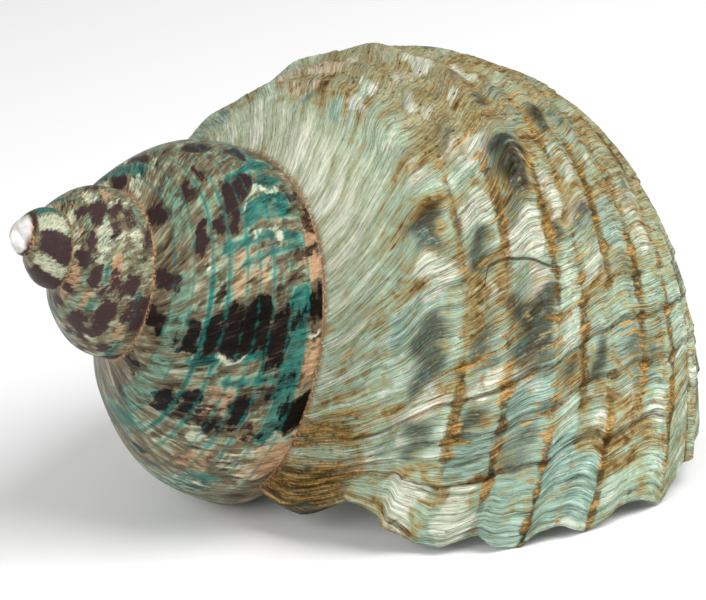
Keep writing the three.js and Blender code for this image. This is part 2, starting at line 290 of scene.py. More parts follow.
def inner_loop(stage, rounds, wall_share, relief_share):
    """A loop of the inner wall: the growing edge set in towards its middle and off the whorl before."""
    loop = edge_point(stage, rounds, relief_share)
    towards = edge_middle(stage) - loop
    towards = towards / np.linalg.norm(towards, axis=1, keepdims=True)
    on_before = np.where(rounds < 3, 1 - smooth(0, 0.25, rounds), smooth(3.2, 3.7, rounds))
    across = np.where(rounds < 3, 1.0, 5 - rounds)
    towards = towards + outward(np.full_like(rounds, stage - SUTURE_STEP), across) * on_before[:, None]
    towards = towards / np.linalg.norm(towards, axis=1, keepdims=True)
    return loop + towards * (wall_at(rounds) * wall_share * local_size(stage))[:, None]


class Surface:
    """Points and triangles gathered from grids and seams, with stage and across at each corner."""

    def __init__(self):
        """Starts with nothing gathered."""
        self.points = []
        self.count = 0
        self.faces = []
        self.corners = []
        self.slots = []

    def add_points(self, points):
        """Adds an array of points and gives their numbers in the same layout."""
        shape = points.shape[:-1]
        self.points.append(points.reshape(-1, 3))
        first = self.count
        self.count += int(np.prod(shape))
        return np.arange(first, self.count).reshape(shape)

    def add_faces(self, faces, places, slot):
        """Adds triangles, leaving out those whose corners meet in one point."""
        a, b, c = faces.T
        whole = (a != b) & (b != c) & (c != a)
        self.faces.append(faces[whole])
        self.corners.append(places[whole])
        self.slots.append(np.full(int(whole.sum()), slot))

    def add_grid(self, numbers, stages, across, slot):
        """Two triangles for each cell of a grid of points, stages along its first axis."""
        u, v = np.broadcast_arrays(stages[:, None], across[None, :])
        place = np.stack([u, v], -1)
        a, b = numbers[:-1, :-1].ravel(), numbers[:-1, 1:].ravel()
        c, d = numbers[1:, 1:].ravel(), numbers[1:, :-1].ravel()
        pa, pb = place[:-1, :-1].reshape(-1, 2), place[:-1, 1:].reshape(-1, 2)
        pc, pd = place[1:, 1:].reshape(-1, 2), place[1:, :-1].reshape(-1, 2)
        self.add_faces(np.stack([a, d, b], 1), np.stack([pa, pd, pb], 1), slot)
        self.add_faces(np.stack([d, c, b], 1), np.stack([pd, pc, pb], 1), slot)

    def sew(self, first, first_at, first_place, second, second_at, second_place, slot):
        """Triangles between two rows of points: each edge goes to the other row's nearest point."""
        first_middle = (first_at[:-1] + first_at[1:]) / 2
        second_middle = (second_at[:-1] + second_at[1:]) / 2
        to_second = np.searchsorted(second_middle, first_middle)
        to_first = np.searchsorted(first_middle, second_middle, side="right")
        faces = np.stack([first[:-1], second[to_second], first[1:]], 1)
        places = np.stack([first_place[:-1], second_place[to_second], first_place[1:]], 1)
        self.add_faces(faces, places, slot)
        faces = np.stack([second[:-1], second[1:], first[to_first]], 1)
        places = np.stack([second_place[:-1], second_place[1:], first_place[to_first]], 1)
        self.add_faces(faces, places, slot)

    def sew_loops(self, first, first_at, first_place, second, second_at, second_place, slot):
        """The same between two closed loops, whose parameter starts again after 4."""
        def closed(row, at, place):
            """A row, its parameter and its places with the first ones again at the end."""
            return np.append(row, row[:1]), np.append(at, at[0] + 4), np.concatenate([place, place[:1]])

        self.sew(*closed(first, first_at, first_place), *closed(second, second_at, second_place), slot)


# The two finishes, and the stages of the grid's columns, closer together towards the lip
OUTSIDE, PEARL = 0, 1
BACK_STEP = 1.2
FRONT_COLUMNS = 331
back_stages = np.arange(BASE_START, FRONT_START, BACK_STEP)
front_stages = np.linspace(FRONT_START, LIP_STAGE, FRONT_COLUMNS)
turn_stages = np.concatenate([back_stages, front_stages])
turn_columns = turn_stages.size - 1
stages = np.concatenate([turn_stages[:-1] - k * SUTURE_STEP for k in (4, 3, 2, 1)] + [turn_stages])
stages = stages[stages >= FIRST_STAGE]

WHORL_ROWS = [(-560, 10), (-232, 24), (BASE_START, 48), (LIP_STAGE + 1, 84)]
BASE_ROWS = 40


def whorl_rows(stage):
    """How many rows a whorl has at a stage: more as the shell grows."""
    return next(rows for end, rows in WHORL_ROWS if stage < end)


def place_along(stage, across):
    """Stage and across of a column's points, side by side."""
    return np.stack([np.full_like(across, stage), across], -1)


def make_whorls(shell, suture, foot):
    """Whorls as grids of stage by across, sewn together where the number of rows changes."""
    counts = np.array([whorl_rows(stage) for stage in stages])
    starts = np.flatnonzero(np.diff(counts, prepend=0))
    ends = np.append(starts[1:], stages.size)
    columns = []
    for start, end in zip(starts, ends):
        across = np.linspace(0, 1, counts[start] + 1)
        inner = shell.add_points(outside_point(stages[start:end, None], across[None, 1:-1]))
        grid = np.concatenate([suture[start:end, None], inner, foot[start:end, None]], 1)
        shell.add_grid(grid, stages[start:end], across, OUTSIDE)
        columns.append((grid, across, start, end))
    for (grid, across, _, end), (after, after_across, start, _) in zip(columns, columns[1:]):
        shell.sew(
            grid[-1], across, place_along(stages[end - 1], across),
            after[0], after_across, place_along(stages[start], after_across), OUTSIDE,
        )
    return columns[0], columns[-1]


def make_base(shell, foot):
    """Base of the last whorl: stage by across, from the whorl's foot to the axis."""
    across = np.linspace(1, AXIS, BASE_ROWS + 1)
    base_stages = stages[-turn_columns - 1:]
    below = shell.add_points(outside_point(base_stages[:, None], across[None, 1:]))
    grid = np.concatenate([foot[-turn_columns - 1:, None], below], 1)
    shell.add_grid(grid, base_stages, across, OUTSIDE)
    return grid, base_stages, across


def make_columella(shell, base, base_stages):
    """Columella: a straight edge between the ends of the base's inner line, and the strip between them."""
    inner = base[:, -1]
    share = np.linspace(0, 1, COLUMELLA_POINTS)
    points = np.concatenate(shell.points)
    line = points[inner[0]] + (points[inner[-1]] - points[inner[0]]) * share[1:-1, None]
    edge = np.concatenate([inner[:1], shell.add_points(line), inner[-1:]])
    at = (base_stages - base_stages[0]) / SUTURE_STEP
    place = np.stack([base_stages, np.full_like(base_stages, AXIS)], -1)
    edge_place = np.stack([BASE_START + SUTURE_STEP * share, np.full_like(share, AXIS)], -1)
    shell.sew(edge, share, edge_place, inner, at, place, PEARL)
    return edge, share


def make_hollow(shell, outline, outline_at, outline_place):
    """Rim and hollow: loops of the inner wall from the lip back along the coil to a rounded end."""
    loop, at, place = outline, outline_at, outline_place
    for past, wall_share, relief_share in RIM:
        after = shell.add_points(inner_loop(LIP_STAGE + past, outline_at, wall_share, relief_share))
        after_place = np.stack([np.full_like(outline_at, LIP_STAGE + past), outline_at], -1)
        shell.sew_loops(loop, at, place, after, outline_at, after_place, PEARL)
        loop, place = after, after_place
    sides = np.linspace(0, 4, CAVITY_SIDES, endpoint=False)
    for depth in np.linspace(CAVITY_START, CAVITY_LENGTH, CAVITY_LOOPS):
        wall_share = 1 + (DEEP_WALL - 1) * min(1.0, depth / 60)
        after = shell.add_points(inner_loop(LIP_STAGE - depth, sides, wall_share, 0.0))
        after_place = np.stack([np.full_like(sides, LIP_STAGE - depth), sides], -1)
        shell.sew_loops(loop, at, place, after, sides, after_place, PEARL)
        loop, at, place = after, sides, after_place
    end = edge_middle(LIP_STAGE - CAVITY_LENGTH)
    back = edge_middle(LIP_STAGE - CAVITY_LENGTH - 12) - end
    rim = np.concatenate(shell.points)[loop]
    for width, depth in CAVITY_END:
        after = shell.add_points(end + (rim - end) * width + back * depth)
        shell.sew_loops(loop, sides, place, after, sides, place, PEARL)
        loop = after
    tip = shell.add_points((end + back * CAVITY_TIP)[None])
    shell.sew_loops(loop, sides, place, tip, np.zeros(1), place[:1], PEARL)


def make_apex(shell, suture, first_column, first_across):
    """Worn tip: a low dome over the first whorl's outline, in rings of a quarter circle."""
    back_row = suture[1:turn_columns][::-1]
    outline = np.concatenate([first_column, back_row])
    along = stages[1:turn_columns][::-1]
    place = np.concatenate([
        place_along(stages[0], first_across), np.stack([along, np.zeros_like(along)], -1),
    ])
    rim = np.concatenate(shell.points)[outline]
    length = np.linalg.norm(np.diff(rim, axis=0, append=rim[:1]), axis=1)
    at = 4 * np.concatenate([[0], np.cumsum(length)[:-1]]) / length.sum()
    middle = rim.mean(0)
    radius = np.linalg.norm(rim - middle, axis=1).mean()
    loop = outline
    for slope in np.radians(TIP_SLOPES):
        ring = middle + (rim - middle) * np.cos(slope)
        ring[:, 2] += TIP_HEIGHT * radius * np.sin(slope)
        after = shell.add_points(ring)
        shell.sew_loops(after, at, place, loop, at, place, OUTSIDE)
        loop = after
    top = shell.add_points((middle + [0, 0, TIP_HEIGHT * radius])[None])
    shell.sew_loops(top, np.zeros(1), place[:1], loop, at, place, OUTSIDE)


def rest_matrix():
    """Turn from the coil's frame to the frame in which the shell rests."""
    tilt = REST_UP.rotation_difference(Vector((0, 0, 1))).to_matrix()
    return Matrix.Rotation(REST_TURN, 3, "Z") @ tilt


def make_surface():
    """The closed surface of the shell: whorls, base, columella, rim, hollow and tip."""
    shell = Surface()
    suture = shell.add_points(outside_point(stages, np.zeros_like(stages)))
    open_foot = shell.add_points(outside_point(stages[-turn_columns:], np.ones(turn_columns)))
    foot = np.concatenate([suture[turn_columns:], open_foot])
    (first, first_across, _, _), (last, last_across, _, _) = make_whorls(shell, suture, foot)
    base, base_stages, base_across = make_base(shell, foot)
    edge, share = make_columella(shell, base, base_stages)
    outline = np.concatenate([last[-1], base[-1, 1:], edge[:-1][::-1], base[0, 1:-1][::-1]])
    outline_at = np.concatenate([last_across, base_across[1:], 2 + share[1:], (5 - base_across[1:-1])[::-1]])
    place = np.stack([np.full_like(outline_at, LIP_STAGE), outline_at], -1)
    make_hollow(shell, outline, outline_at, place)
    make_apex(shell, suture, first[0], first_across)
    return shell


# Markings, as patches: stage from and to, across from and to, strength, and slant in degrees per across
SPIRE_DARK = [
    (-100, -86, -0.02, 0.14, 0.8, 110), (-88, -77, 0.26, 0.33, 0.75, 20), (-88, -77, 0.38, 0.43, 0.7, 20),
    (-105, -93, 0.46, 0.55, 0.7, 20), (-98, -90, 0.55, 0.63, 0.55, 20), (-60, -46, 0.26, 0.33, 0.97, 10),
    (-58, -47, 0.38, 0.43, 0.95, 10), (-71, -57, 0.47, 0.53, 0.85, 40), (-66, -57, 0.53, 0.6, 0.85, 10),
    (-67, -58, 0.61, 0.66, 0.95, 10), (-57, -46, 0.46, 0.52, 0.85, 10), (-55, -45, -0.02, 0.16, 0.85, 90),
    (-82, -73, 0.66, 0.76, 0.7, 15), (-32, -20, -0.02, 0.13, 0.75, 100), (-18, -3, 0.26, 0.33, 1.0, 10),
    (-17, -1, 0.365, 0.44, 1.0, 10), (-17, 1, 0.45, 0.53, 1.0, 8), (-16, 3, 0.52, 0.69, 1.0, 8),
    (-8, 11, 0.69, 0.79, 1.0, 8), (-15, -7, 0.19, 0.23, 0.6, 8), (-12, -2, 0.9, 1.02, 0.8, 0),
    (-9, 0, 0.8, 0.88, 0.5, 0), (16, 31, 0.27, 0.34, 0.95, 10), (14, 29, 0.38, 0.44, 0.97, 10),
    (19, 29, 0.61, 0.69, 0.97, 8), (27, 33, 0.46, 0.56, 0.6, 8), (22, 35, 0.87, 1.02, 0.9, 0),
    (31, 35, 0.5, 0.84, 0.55, 8), (3, 16, -0.02, 0.1, 0.5, 60), (-50, -43, 0.87, 0.97, 0.55, 0),
    (16, 24, 0.74, 0.8, 0.5, 0), (12, 20, 0.8, 0.87, 0.5, 0), (-420, -398, 0.2, 0.3, 0.8, 40),
    (-402, -386, 0.1, 0.24, 0.85, 40), (-396, -378, 0.86, 1.0, 0.6, 0), (-345, -318, 0.86, 1.0, 0.8, 0),
    (-372, -352, 0.5, 0.6, 0.7, 10), (-318, -306, 0.4, 0.52, 0.8, 0), (-757, -714, 0.2, 0.92, 0.97, 60),
    (-684, -640, 0.25, 0.95, 0.97, 40), (-457, -444, 0.1, 0.28, 0.9, 60), (-408, -397, 0.03, 0.2, 0.95, 60),
    (-420, -411, 0.1, 0.17, 0.8, 40), (-366, -352, 0.02, 0.15, 0.9, 30), (-334, -311, 0.03, 0.15, 0.8, 20),
    (-444, -420, 0.29, 0.42, 0.97, 20), (-438, -424, 0.4, 0.5, 0.7, 20), (-382, -362, 0.28, 0.39, 1.0, 10),
    (-389, -384, 0.41, 0.46, 0.8, 0), (-334, -311, 0.28, 0.44, 0.85, 10), (-362, -350, 0.42, 0.47, 0.8, 10),
    (-346, -326, 0.48, 0.66, 1.0, 10), (-358, -347, 0.62, 0.7, 0.8, 10), (-326, -312, 0.52, 0.64, 0.8, 0),
    (-424, -415, 0.5, 0.7, 0.85, 0), (-416, -397, 0.5, 0.6, 0.6, 0), (-363, -350, 0.69, 0.82, 0.95, 10),
    (-345, -327, 0.74, 0.84, 0.75, 10), (-414, -396, 0.66, 0.82, 0.5, 0), (-470, -452, 0.5, 0.7, 0.6, 0),
]
BODY_DARK_AND_SHADE = [
    (62, 70, 0.4, 0.48, 0.6, 0), (284, 290, 0.56, 0.61, 0.75, 5), (251, 257, 0.42, 0.47, 0.6, 5),
    (274, 279, 0.47, 0.51, 0.6, 5), (264, 268, 0.3, 0.35, 0.5, 5), (285, 290, 0.43, 0.48, 0.6, 5),
    (276, 282, 0.55, 0.6, 0.6, 5), (242, 246, 0.24, 0.33, 0.6, 20), (297, 308, 0.26, 0.35, 0.8, 10),
    (321, 334, 0.26, 0.35, 0.75, 10), (341, 349, 0.28, 0.36, 0.7, 10), (311, 318, 0.4, 0.48, 0.75, 10),
    # (299, 309) and (326, 340) lie over the two largest knobs: partly their dark green colour, partly painted
    # shade on their sides.
    (328, 337, 0.4, 0.48, 0.6, 10), (342, 349, 0.4, 0.48, 0.75, 10), (299, 309, 0.525, 0.62, 1.0, 20),
    (293, 298, 0.52, 0.56, 0.5, 20), (309, 315, 0.52, 0.62, 0.55, 10), (326, 340, 0.505, 0.62, 0.85, 20),
    (348, 357, 0.5, 0.6, 0.6, 5), (316, 322, 0.63, 0.69, 0.85, 5), (341, 347, 0.63, 0.69, 0.7, 5),
    (293, 303, 0.71, 0.78, 0.8, 5), (318, 324, 0.72, 0.78, 0.8, 5), (341, 347, 0.72, 0.78, 0.85, 5),
    (331, 342, 0.81, 0.87, 0.5, 0), (343, 350, 0.81, 0.95, 0.6, 0), (317, 323, 0.9, 0.97, 0.55, 0),
    (298, 304, 0.81, 0.87, 0.5, 0), (289, 297, 1.06, 1.16, 0.5, 0), (315, 322, 1.06, 1.16, 0.5, 0),
    (266, 275, 0.4, 0.47, 0.4, 20), (276, 288, 0.27, 0.34, 0.35, 20), (261, 268, 0.72, 0.8, 0.5, 20),
]
BODY_PALE_AND_GLINTS = [
    (257, 265, 0.36, 0.41, 0.65, 5), (267, 273, 0.515, 0.575, 0.7, 5), (271, 277, 0.41, 0.46, 0.65, 5),
    (280, 285, 0.5, 0.56, 0.8, 5), (262, 268, 0.43, 0.48, 0.55, 5), (246, 252, 0.44, 0.5, 0.6, 5),
    (255, 261, 0.27, 0.32, 0.6, 5), (292, 297, 0.48, 0.54, 0.9, 5), (276, 283, 0.6, 0.66, 0.7, 5),
    (284, 289, 0.66, 0.72, 0.6, 5), (256, 262, 0.38, 0.43, 0.6, 10), (263, 270, 0.53, 0.6, 0.6, 10),
    (245, 251, 0.51, 0.57, 0.5, 10), (274, 281, 0.4, 0.45, 0.5, 10), (257, 264, 0.27, 0.34, 0.75, 20),
    (301, 311, 0.4, 0.48, 0.85, 10), (289, 296, 0.4, 0.47, 0.5, 10), (319, 327, 0.4, 0.48, 0.45, 10),
    (354, 368, 0.42, 0.49, 0.9, 5), (313, 322, 0.5, 0.61, 0.9, 10), (292, 298, 0.5, 0.56, 0.6, 10),
    (308, 318, 0.27, 0.37, 0.7, 10), (334, 341, 0.27, 0.36, 0.75, 10), (355, 367, 0.27, 0.37, 0.7, 5),
    # (303, 306) and (330, 333) are painted highlights: glints of light on the crests of the two largest
    # knobs.
    (336, 342, 0.4, 0.48, 0.75, 10), (303, 306, 0.56, 0.59, 0.9, 10), (330, 333, 0.57, 0.6, 0.9, 10),
    (309, 317, 0.63, 0.69, 0.7, 5), (305, 312, 0.71, 0.78, 0.6, 5), (325, 332, 0.71, 0.78, 0.75, 5),
    (326, 334, 0.63, 0.69, 0.6, 5), (351, 357, 0.72, 0.78, 0.5, 5), (352, 359, 0.9, 0.97, 0.55, 0),
    (308, 314, 0.81, 0.87, 0.5, 0), (350, 356, 0.81, 0.87, 0.5, 0), (324, 331, 0.9, 0.97, 0.6, 0),
    (300, 368, 0.985, 1.0, 0.55, 0),
]
SPIRE_LIGHT = [
    (60, 84, 0.6, 0.8, 0.5, 0), (52, 66, 0.82, 0.92, 0.5, 0), (42, 52, 0.7, 0.86, 0.6, 0),
    (40, 50, 0.3, 0.5, 0.4, 0), (-118, -112, 0.2, 0.34, 0.5, 20), (-55, -52, 0.53, 0.62, 0.8, -30),
    (-57, -54, 0.6, 0.72, 1.0, 10), (-54, -50, 0.7, 0.82, 0.9, 40), (-42, -39, 0.3, 0.36, 0.8, 40),
    (-42, -39, 0.56, 0.64, 0.6, 30), (-38, -34, 0.68, 0.76, 0.9, 40), (0.5, 5, 0.44, 0.6, 0.9, 10),
    (0, 3, 0.9, 1.0, 0.6, 0), (-4, -1, 0.26, 0.36, 0.7, 30), (34, 39, 0.46, 0.6, 0.9, 20),
    (35, 40, 0.86, 1.0, 0.8, 0), (-795, -757, 0.12, 0.9, 1.0, 66), (-714, -684, 0.15, 0.92, 0.85, 50),
    (-475, -455, -0.02, 0.12, 0.9, 60), (-445, -430, -0.02, 0.1, 0.7, 60),
    (-420, -409, -0.02, 0.1, 0.8, 60), (-400, -394, 0.02, 0.16, 0.6, 50), (-465, -445, 0.3, 0.46, 0.75, 10),
    (-418, -384, 0.3, 0.48, 0.7, 0), (-428, -422, 0.5, 0.7, 0.8, 0), (-397, -392, 0.5, 0.68, 0.8, 0),
    (-393, -386, 0.7, 0.86, 0.8, 0), (-421, -417, 0.7, 0.84, 0.7, 0), (-330, -327, 0.7, 0.84, 0.8, 10),
    (-312, -308, 0.5, 0.66, 0.7, 0), (-349, -346, 0.74, 0.82, 0.6, 10),
]
SPIRE_PEACH = [
    (40, 58, 0.84, 1.0, 0.9, 0), (44, 60, 0.5, 0.7, 0.5, 0), (-708, -692, 0.35, 0.6, 0.9, 50),
    (-448, -431, 0.52, 0.64, 1.0, 0), (-395, -362, 0.02, 0.16, 0.7, 0), (-384, -362, 0.5, 0.6, 1.0, 0),
    (-358, -341, 0.28, 0.36, 0.9, 0), (-352, -340, 0.02, 0.12, 0.8, 0), (-436, -428, 0.08, 0.16, 0.9, 30),
    (-478, -466, 0.14, 0.2, 0.8, 30), (-466, -452, 0.3, 0.4, 0.7, 0), (-418, -409, 0.3, 0.36, 0.7, 0),
    (-326, -311, 0.72, 0.84, 0.7, 0), (-46, -40, 0.17, 0.38, 0.6, 10), (-47, -38, 0.69, 0.76, 0.75, 10),
    (-38, -20, 0.46, 0.66, 0.5, 5), (14, 28, 0.46, 0.6, 0.45, 5), (28, 36, 0.6, 0.84, 0.5, 5),
    (-36, -16, 0.88, 1.02, 0.5, 0), (2, 20, 0.9, 1.02, 0.45, 0),
]
SPIRE_TEAL = [
    (56, 90, 0.62, 0.78, 0.7, 0), (45, 70, 0.2, 0.34, 0.6, 0), (-100, -62, 0.14, 0.24, 0.4, 0),
    (-46, 45, 0.13, 0.25, 0.45, 0), (-92, -30, 0.335, 0.375, 0.5, 0), (-34, 45, 0.34, 0.37, 0.9, 0),
    (-70, 45, 0.435, 0.455, 0.95, 0), (-44, 45, 0.535, 0.55, 0.6, 0), (-40, 45, 0.6, 0.615, 0.6, 0),
    (-56, 45, 0.685, 0.7, 0.9, 0), (-14, 38, 0.8, 0.9, 1.0, 0), (-95, -40, 0.72, 0.82, 0.55, 0),
    (-69, -65, 0.5, 0.92, 0.8, 10), (-59, -55, 0.66, 0.88, 0.8, 10), (-52, -42, 0.54, 0.86, 0.85, 15),
    (-39, -35, 0.4, 0.88, 0.8, 25), (-31, -28, 0.5, 0.9, 0.7, 10), (-12, -8, 0.78, 0.92, 0.8, 0),
    (1, 5, 0.36, 0.7, 0.8, 10), (-1, 3, 0.3, 0.46, 0.7, 10), (12, 16, 0.5, 0.9, 0.6, 10),
    (-832, -800, 0.2, 0.9, 0.8, 66), (-752, -735, 0.2, 0.45, 0.8, 60), (-480, -300, 0.21, 0.275, 0.4, 0),
    (-460, -380, 0.4, 0.47, 0.4, 0), (-378, -362, 0.42, 0.48, 0.8, 0), (-352, -335, 0.36, 0.46, 0.6, 0),
    (-415, -395, 0.82, 0.88, 0.5, 0), (-350, -325, 0.8, 0.9, 0.7, 0),
]
BODY_TEAL = [
    (274, 281, 0.51, 0.57, 0.8, 0), (280, 300, 0.6, 0.9, 0.45, 0), (260, 276, 0.5, 0.62, 0.5, 0),
    (246, 256, 0.37, 0.43, 0.45, 0), (336, 372, 0.3, 0.98, 0.45, 0), (355, 370, 0.5, 0.7, 0.5, 0),
    (280, 330, 0.1, 0.24, 0.35, 0), (240, 275, 0.18, 0.26, 0.3, 0), (286, 300, 0.42, 0.47, 0.5, 0),
    (306, 311, 0.5, 0.56, 0.6, 0), (325, 330, 0.5, 0.56, 0.6, 0), (325, 352, 0.6, 0.64, 0.3, 0),
    (318, 350, 0.7, 0.98, 0.3, 0),
]
TAN_WEAR = [
    (224, 296, 0.36, 0.52, 0.64, 10), (236, 300, 0.5, 0.85, 0.6, 0), (268, 292, 0.24, 0.4, 0.4, 0),
    (260, 330, 0.82, 1.3, 0.55, 0), (309, 316, 0.2, 0.3, 0.35, 0),
]
SHOULDER_FILM = [(302, 326, 0, 0.2, 0.4, 0), (332, 346, -0.1, 0.2, 0.7, 0), (349, 374, -0.1, 0.2, 0.9, 0)]
# Growth breaks, where the lip once paused, drawn as thin dark lines that are partly the shell's brown line
# and partly painted shadow under each ledge step: growth stage and strength
GROWTH_BREAKS = [
    (216, 0.5), (246, 0.6), (291, 0.6), (317, 0.4), (334, 0.8),
    (341, 0.7), (348, 0.9), (351, 0.6), (356, 1.0), (366, 0.4),
]
BREAK_RANGE = (200, 372)
BREAK_WIDTH = 0.3
GROOVES = [0.39, 0.505, 0.628, 0.705, 0.79, 0.885, 0.985, 1.08, 1.17, 1.265, 1.36, 1.46]
# Flames under the suture of the last whorl: stage of the edge, length and strength
FLAMES = [
    (202, 5, 0.5), (216, 7, 0.7), (241, 12, 0.9), (254, 8, 1.0), (263.5, 7, 1.0), (271, 5, 0.7),
    (283, 5, 0.45), (295, 4, 0.5), (306, 4, 0.5), (318, 4, 0.4),
]
# Crack at the third knob: across and stage
CRACK = np.array([(0.441, 321.2), (0.45, 318.4), (0.507, 319.1), (0.549, 321.3), (0.612, 325.2)])
BODY_PINK = [
    (229, 242, 0.22, 0.35, 0.55, 10), (226, 247, 0.37, 0.47, 0.5, 0), (286, 293, 0.28, 0.36, 0.5, 0),
    (294, 300, 0.5, 0.57, 0.8, 0), (322, 329, 0.55, 0.61, 0.7, 0), (336, 342, 0.27, 0.36, 0.5, 0),
    (337, 343, 0.42, 0.6, 0.5, 0), (313, 320, 0.5, 0.6, 0.5, 10), (316, 322, 0.66, 0.78, 0.4, 0),
]


def soft_box(x, low, high, soft):
    """One between low and high, with soft ends."""
    return smooth(low - soft, low + soft, x) * smooth(-high - soft, -high + soft, -x)


def patches(stage, across, marks, soft_stage, soft_across):
    """Union of soft boxes in stage and across: one minus the product of what each leaves bare."""
    bare = np.ones_like(stage)
    for start, end, low, high, strength, slant in marks:
        shifted = stage - slant * (across - (low + high) / 2)
        box = soft_box(shifted, start, end, soft_stage) * soft_box(across, low, high, soft_across)
        bare *= 1 - strength * box
    return 1 - bare


def wobble(stage, across):
    """Stage and across moved by short waves, sums of sines of both, so that markings have uneven edges."""
    along = 1.3 * np.sin(31 * across + stage / 2.9) + 0.9 * np.sin(57 * across - stage / 1.9 + 2.0)
    over = 0.011 * np.sin(stage / 2.3 + 19 * across) + 0.008 * np.sin(stage / 1.3 - 37 * across + 1.0)
    return stage + along, across + over * smooth(0.03, 0.12, across) * smooth(0, 0.1, np.abs(across - 1))


def checker(stage, across, rows, phase):
    """Rows of blocks where no marking is listed: a sum of sines along the coil for each spiral row."""
    total = np.zeros_like(stage)
    for i, (low, high) in enumerate(rows):
        shift = phase + 2.4 * i
        beat = np.sin(stage * 0.205 + shift) + 0.7 * np.sin(stage * 0.127 + 1.7 * shift)
        total += soft_box(across, low, high, 0.02) * smooth(0.2, 0.9, beat)
    return total


# Rows of blocks, the lines between them, and the sides of each whorl whose markings are listed
DARK_ROWS = [(0.0, 0.13), (0.27, 0.34), (0.38, 0.44), (0.48, 0.58), (0.6, 0.68), (0.71, 0.8), (0.88, 1.0)]
LIGHT_ROWS = [(0.02, 0.14), (0.3, 0.42), (0.5, 0.62), (0.7, 0.84)]
TEAL_ROWS = [(0.13, 0.24, 0.02), (0.8, 0.9, 0.02), (0.44, 0.47, 0.01)]
BASE_ROWS_DARK = [(1.05, 1.12), (1.17, 1.25), (1.3, 1.38), (1.43, 1.52), (1.58, 1.68)]
SPIRE_LINES = [0.0, 0.13, 0.25, 0.355, 0.445, 0.54, 0.61, 0.69, 0.79, 0.895, 1.0]
STRIPE_WIDTH = 0.018
BODY_LINES = [0.2, *GROOVES]
LISTED_SIDES = [(-835, -635), (-490, -308), (-118, 88), (208, 380)]


def block_tones(stage, across, lines, seed):
    """Even tones from 0 to 1 along each row between two spiral lines, a new one for each block."""
    rng = np.random.default_rng(seed)
    total = np.full_like(stage, 0.5)
    for low, high in zip(lines, lines[1:]):
        ends = np.cumsum(rng.uniform(2.5, 10, 260)) - 1100
        tones = rng.uniform(-0.5, 0.5, ends.size + 1)
        at = np.stack([ends - 0.7, ends + 0.7], 1).ravel()
        values = np.stack([tones[:-1], tones[1:]], 1).ravel()
        total += np.interp(stage, at, values) * soft_box(across, low, high, 0.012)
    return total


def mixed_tones(stage, wavy, across, seed):
    """Even tones of the body's rows and of the spire's rows, blended by the body's share."""
    share = body_share(stage)
    body = block_tones(wavy, across, BODY_LINES, seed)
    spire = block_tones(wavy, across, SPIRE_LINES, seed + 1)
    return share * body + (1 - share) * spire


def listed(stage):
    """One where the markings are listed: the sides of each whorl that the photograph shows."""
    return sum(soft_box(stage, start, end, 4) for start, end in LISTED_SIDES)


def dark_field(stage, across):
    """Dark blocks, those over the two largest knobs partly painted shade on their sides: listed ones in view,
    a checker elsewhere and on the base.
    """
    fill = checker(stage, across, DARK_ROWS, 0.6) * (1 - 0.45 * smooth(60, 190, stage))
    marks = patches(stage, across, SPIRE_DARK, 3.0, 0.035) + patches(stage, across, BODY_DARK_AND_SHADE, 2.6, 0.032)
    base = 0.6 * checker(stage, across, BASE_ROWS_DARK, 1.9) * (1 - smooth(1.62, 1.7, across))
    return np.clip(marks + fill * (1 - listed(stage)) + base, 0, 1)


def flames(stage, across):
    """Pale flames under the suture: each brightens up to a bowed edge and stops sharply there."""
    total = np.zeros_like(stage)
    for edge, length, strength in FLAMES:
        bow = edge + 6 * (1 - ((across - 0.09) / 0.09) ** 2)
        behind = bow - stage
        rise = smooth(-0.5, 0.3, behind) * smooth(-length, -0.2 * length, -behind)
        total = np.maximum(total, strength * rise * soft_box(across, 0.015, 0.135, 0.03))
    return total


def crack_side(stage, across):
    """Side of the crack at the third knob: half on the crack, more ahead of it and less behind it."""
    ahead = stage - np.interp(across, CRACK[:, 0], CRACK[:, 1])
    return 0.5 + np.clip(ahead, -5, 5) / 10


def light_field(stage, across):
    """Cream and mint white patches, with two painted highlights on the crests of the largest knobs: listed
    ones in view, a checker elsewhere and on the base.
    """
    fill = 0.8 * checker(stage, across, LIGHT_ROWS, 2.9)
    marks = patches(stage, across, SPIRE_LIGHT, 1.2, 0.024) + patches(stage, across, BODY_PALE_AND_GLINTS, 1.8, 0.024)
    base = 0.6 * checker(stage, across, BASE_ROWS_DARK, 4.4)
    return np.clip(marks + fill * (1 - listed(stage)) + base, 0, 1)


def teal_field(stage, across):
    """Green and teal patches: a wash over the spire, listed ones in view, and rows elsewhere."""
    spire = soft_box(across, 0.12, 0.9, 0.03) * (1 - smooth(50, 150, stage))
    marks = patches(stage, across, SPIRE_TEAL, 1.8, 0.018) + patches(stage, across, BODY_TEAL, 4, 0.03)
    rows = sum(soft_box(across, low, high, soft) for low, high, soft in TEAL_ROWS)
    return np.clip(0.3 * spire + 0.75 * marks + 0.5 * rows * (1 - listed(stage)), 0, 1)


def peach_field(stage, across):
    """Peach, pink and rust patches of the spire, and pinkish cream ones of the body."""
    fill = 0.7 * checker(stage, across, LIGHT_ROWS, 5.3) * (1 - smooth(40, 90, stage))
    marks = patches(stage, across, SPIRE_PEACH, 2.4, 0.03) + patches(stage, across, BODY_PINK, 2, 0.025)
    return np.clip(marks + fill * (1 - listed(stage)), 0, 1)


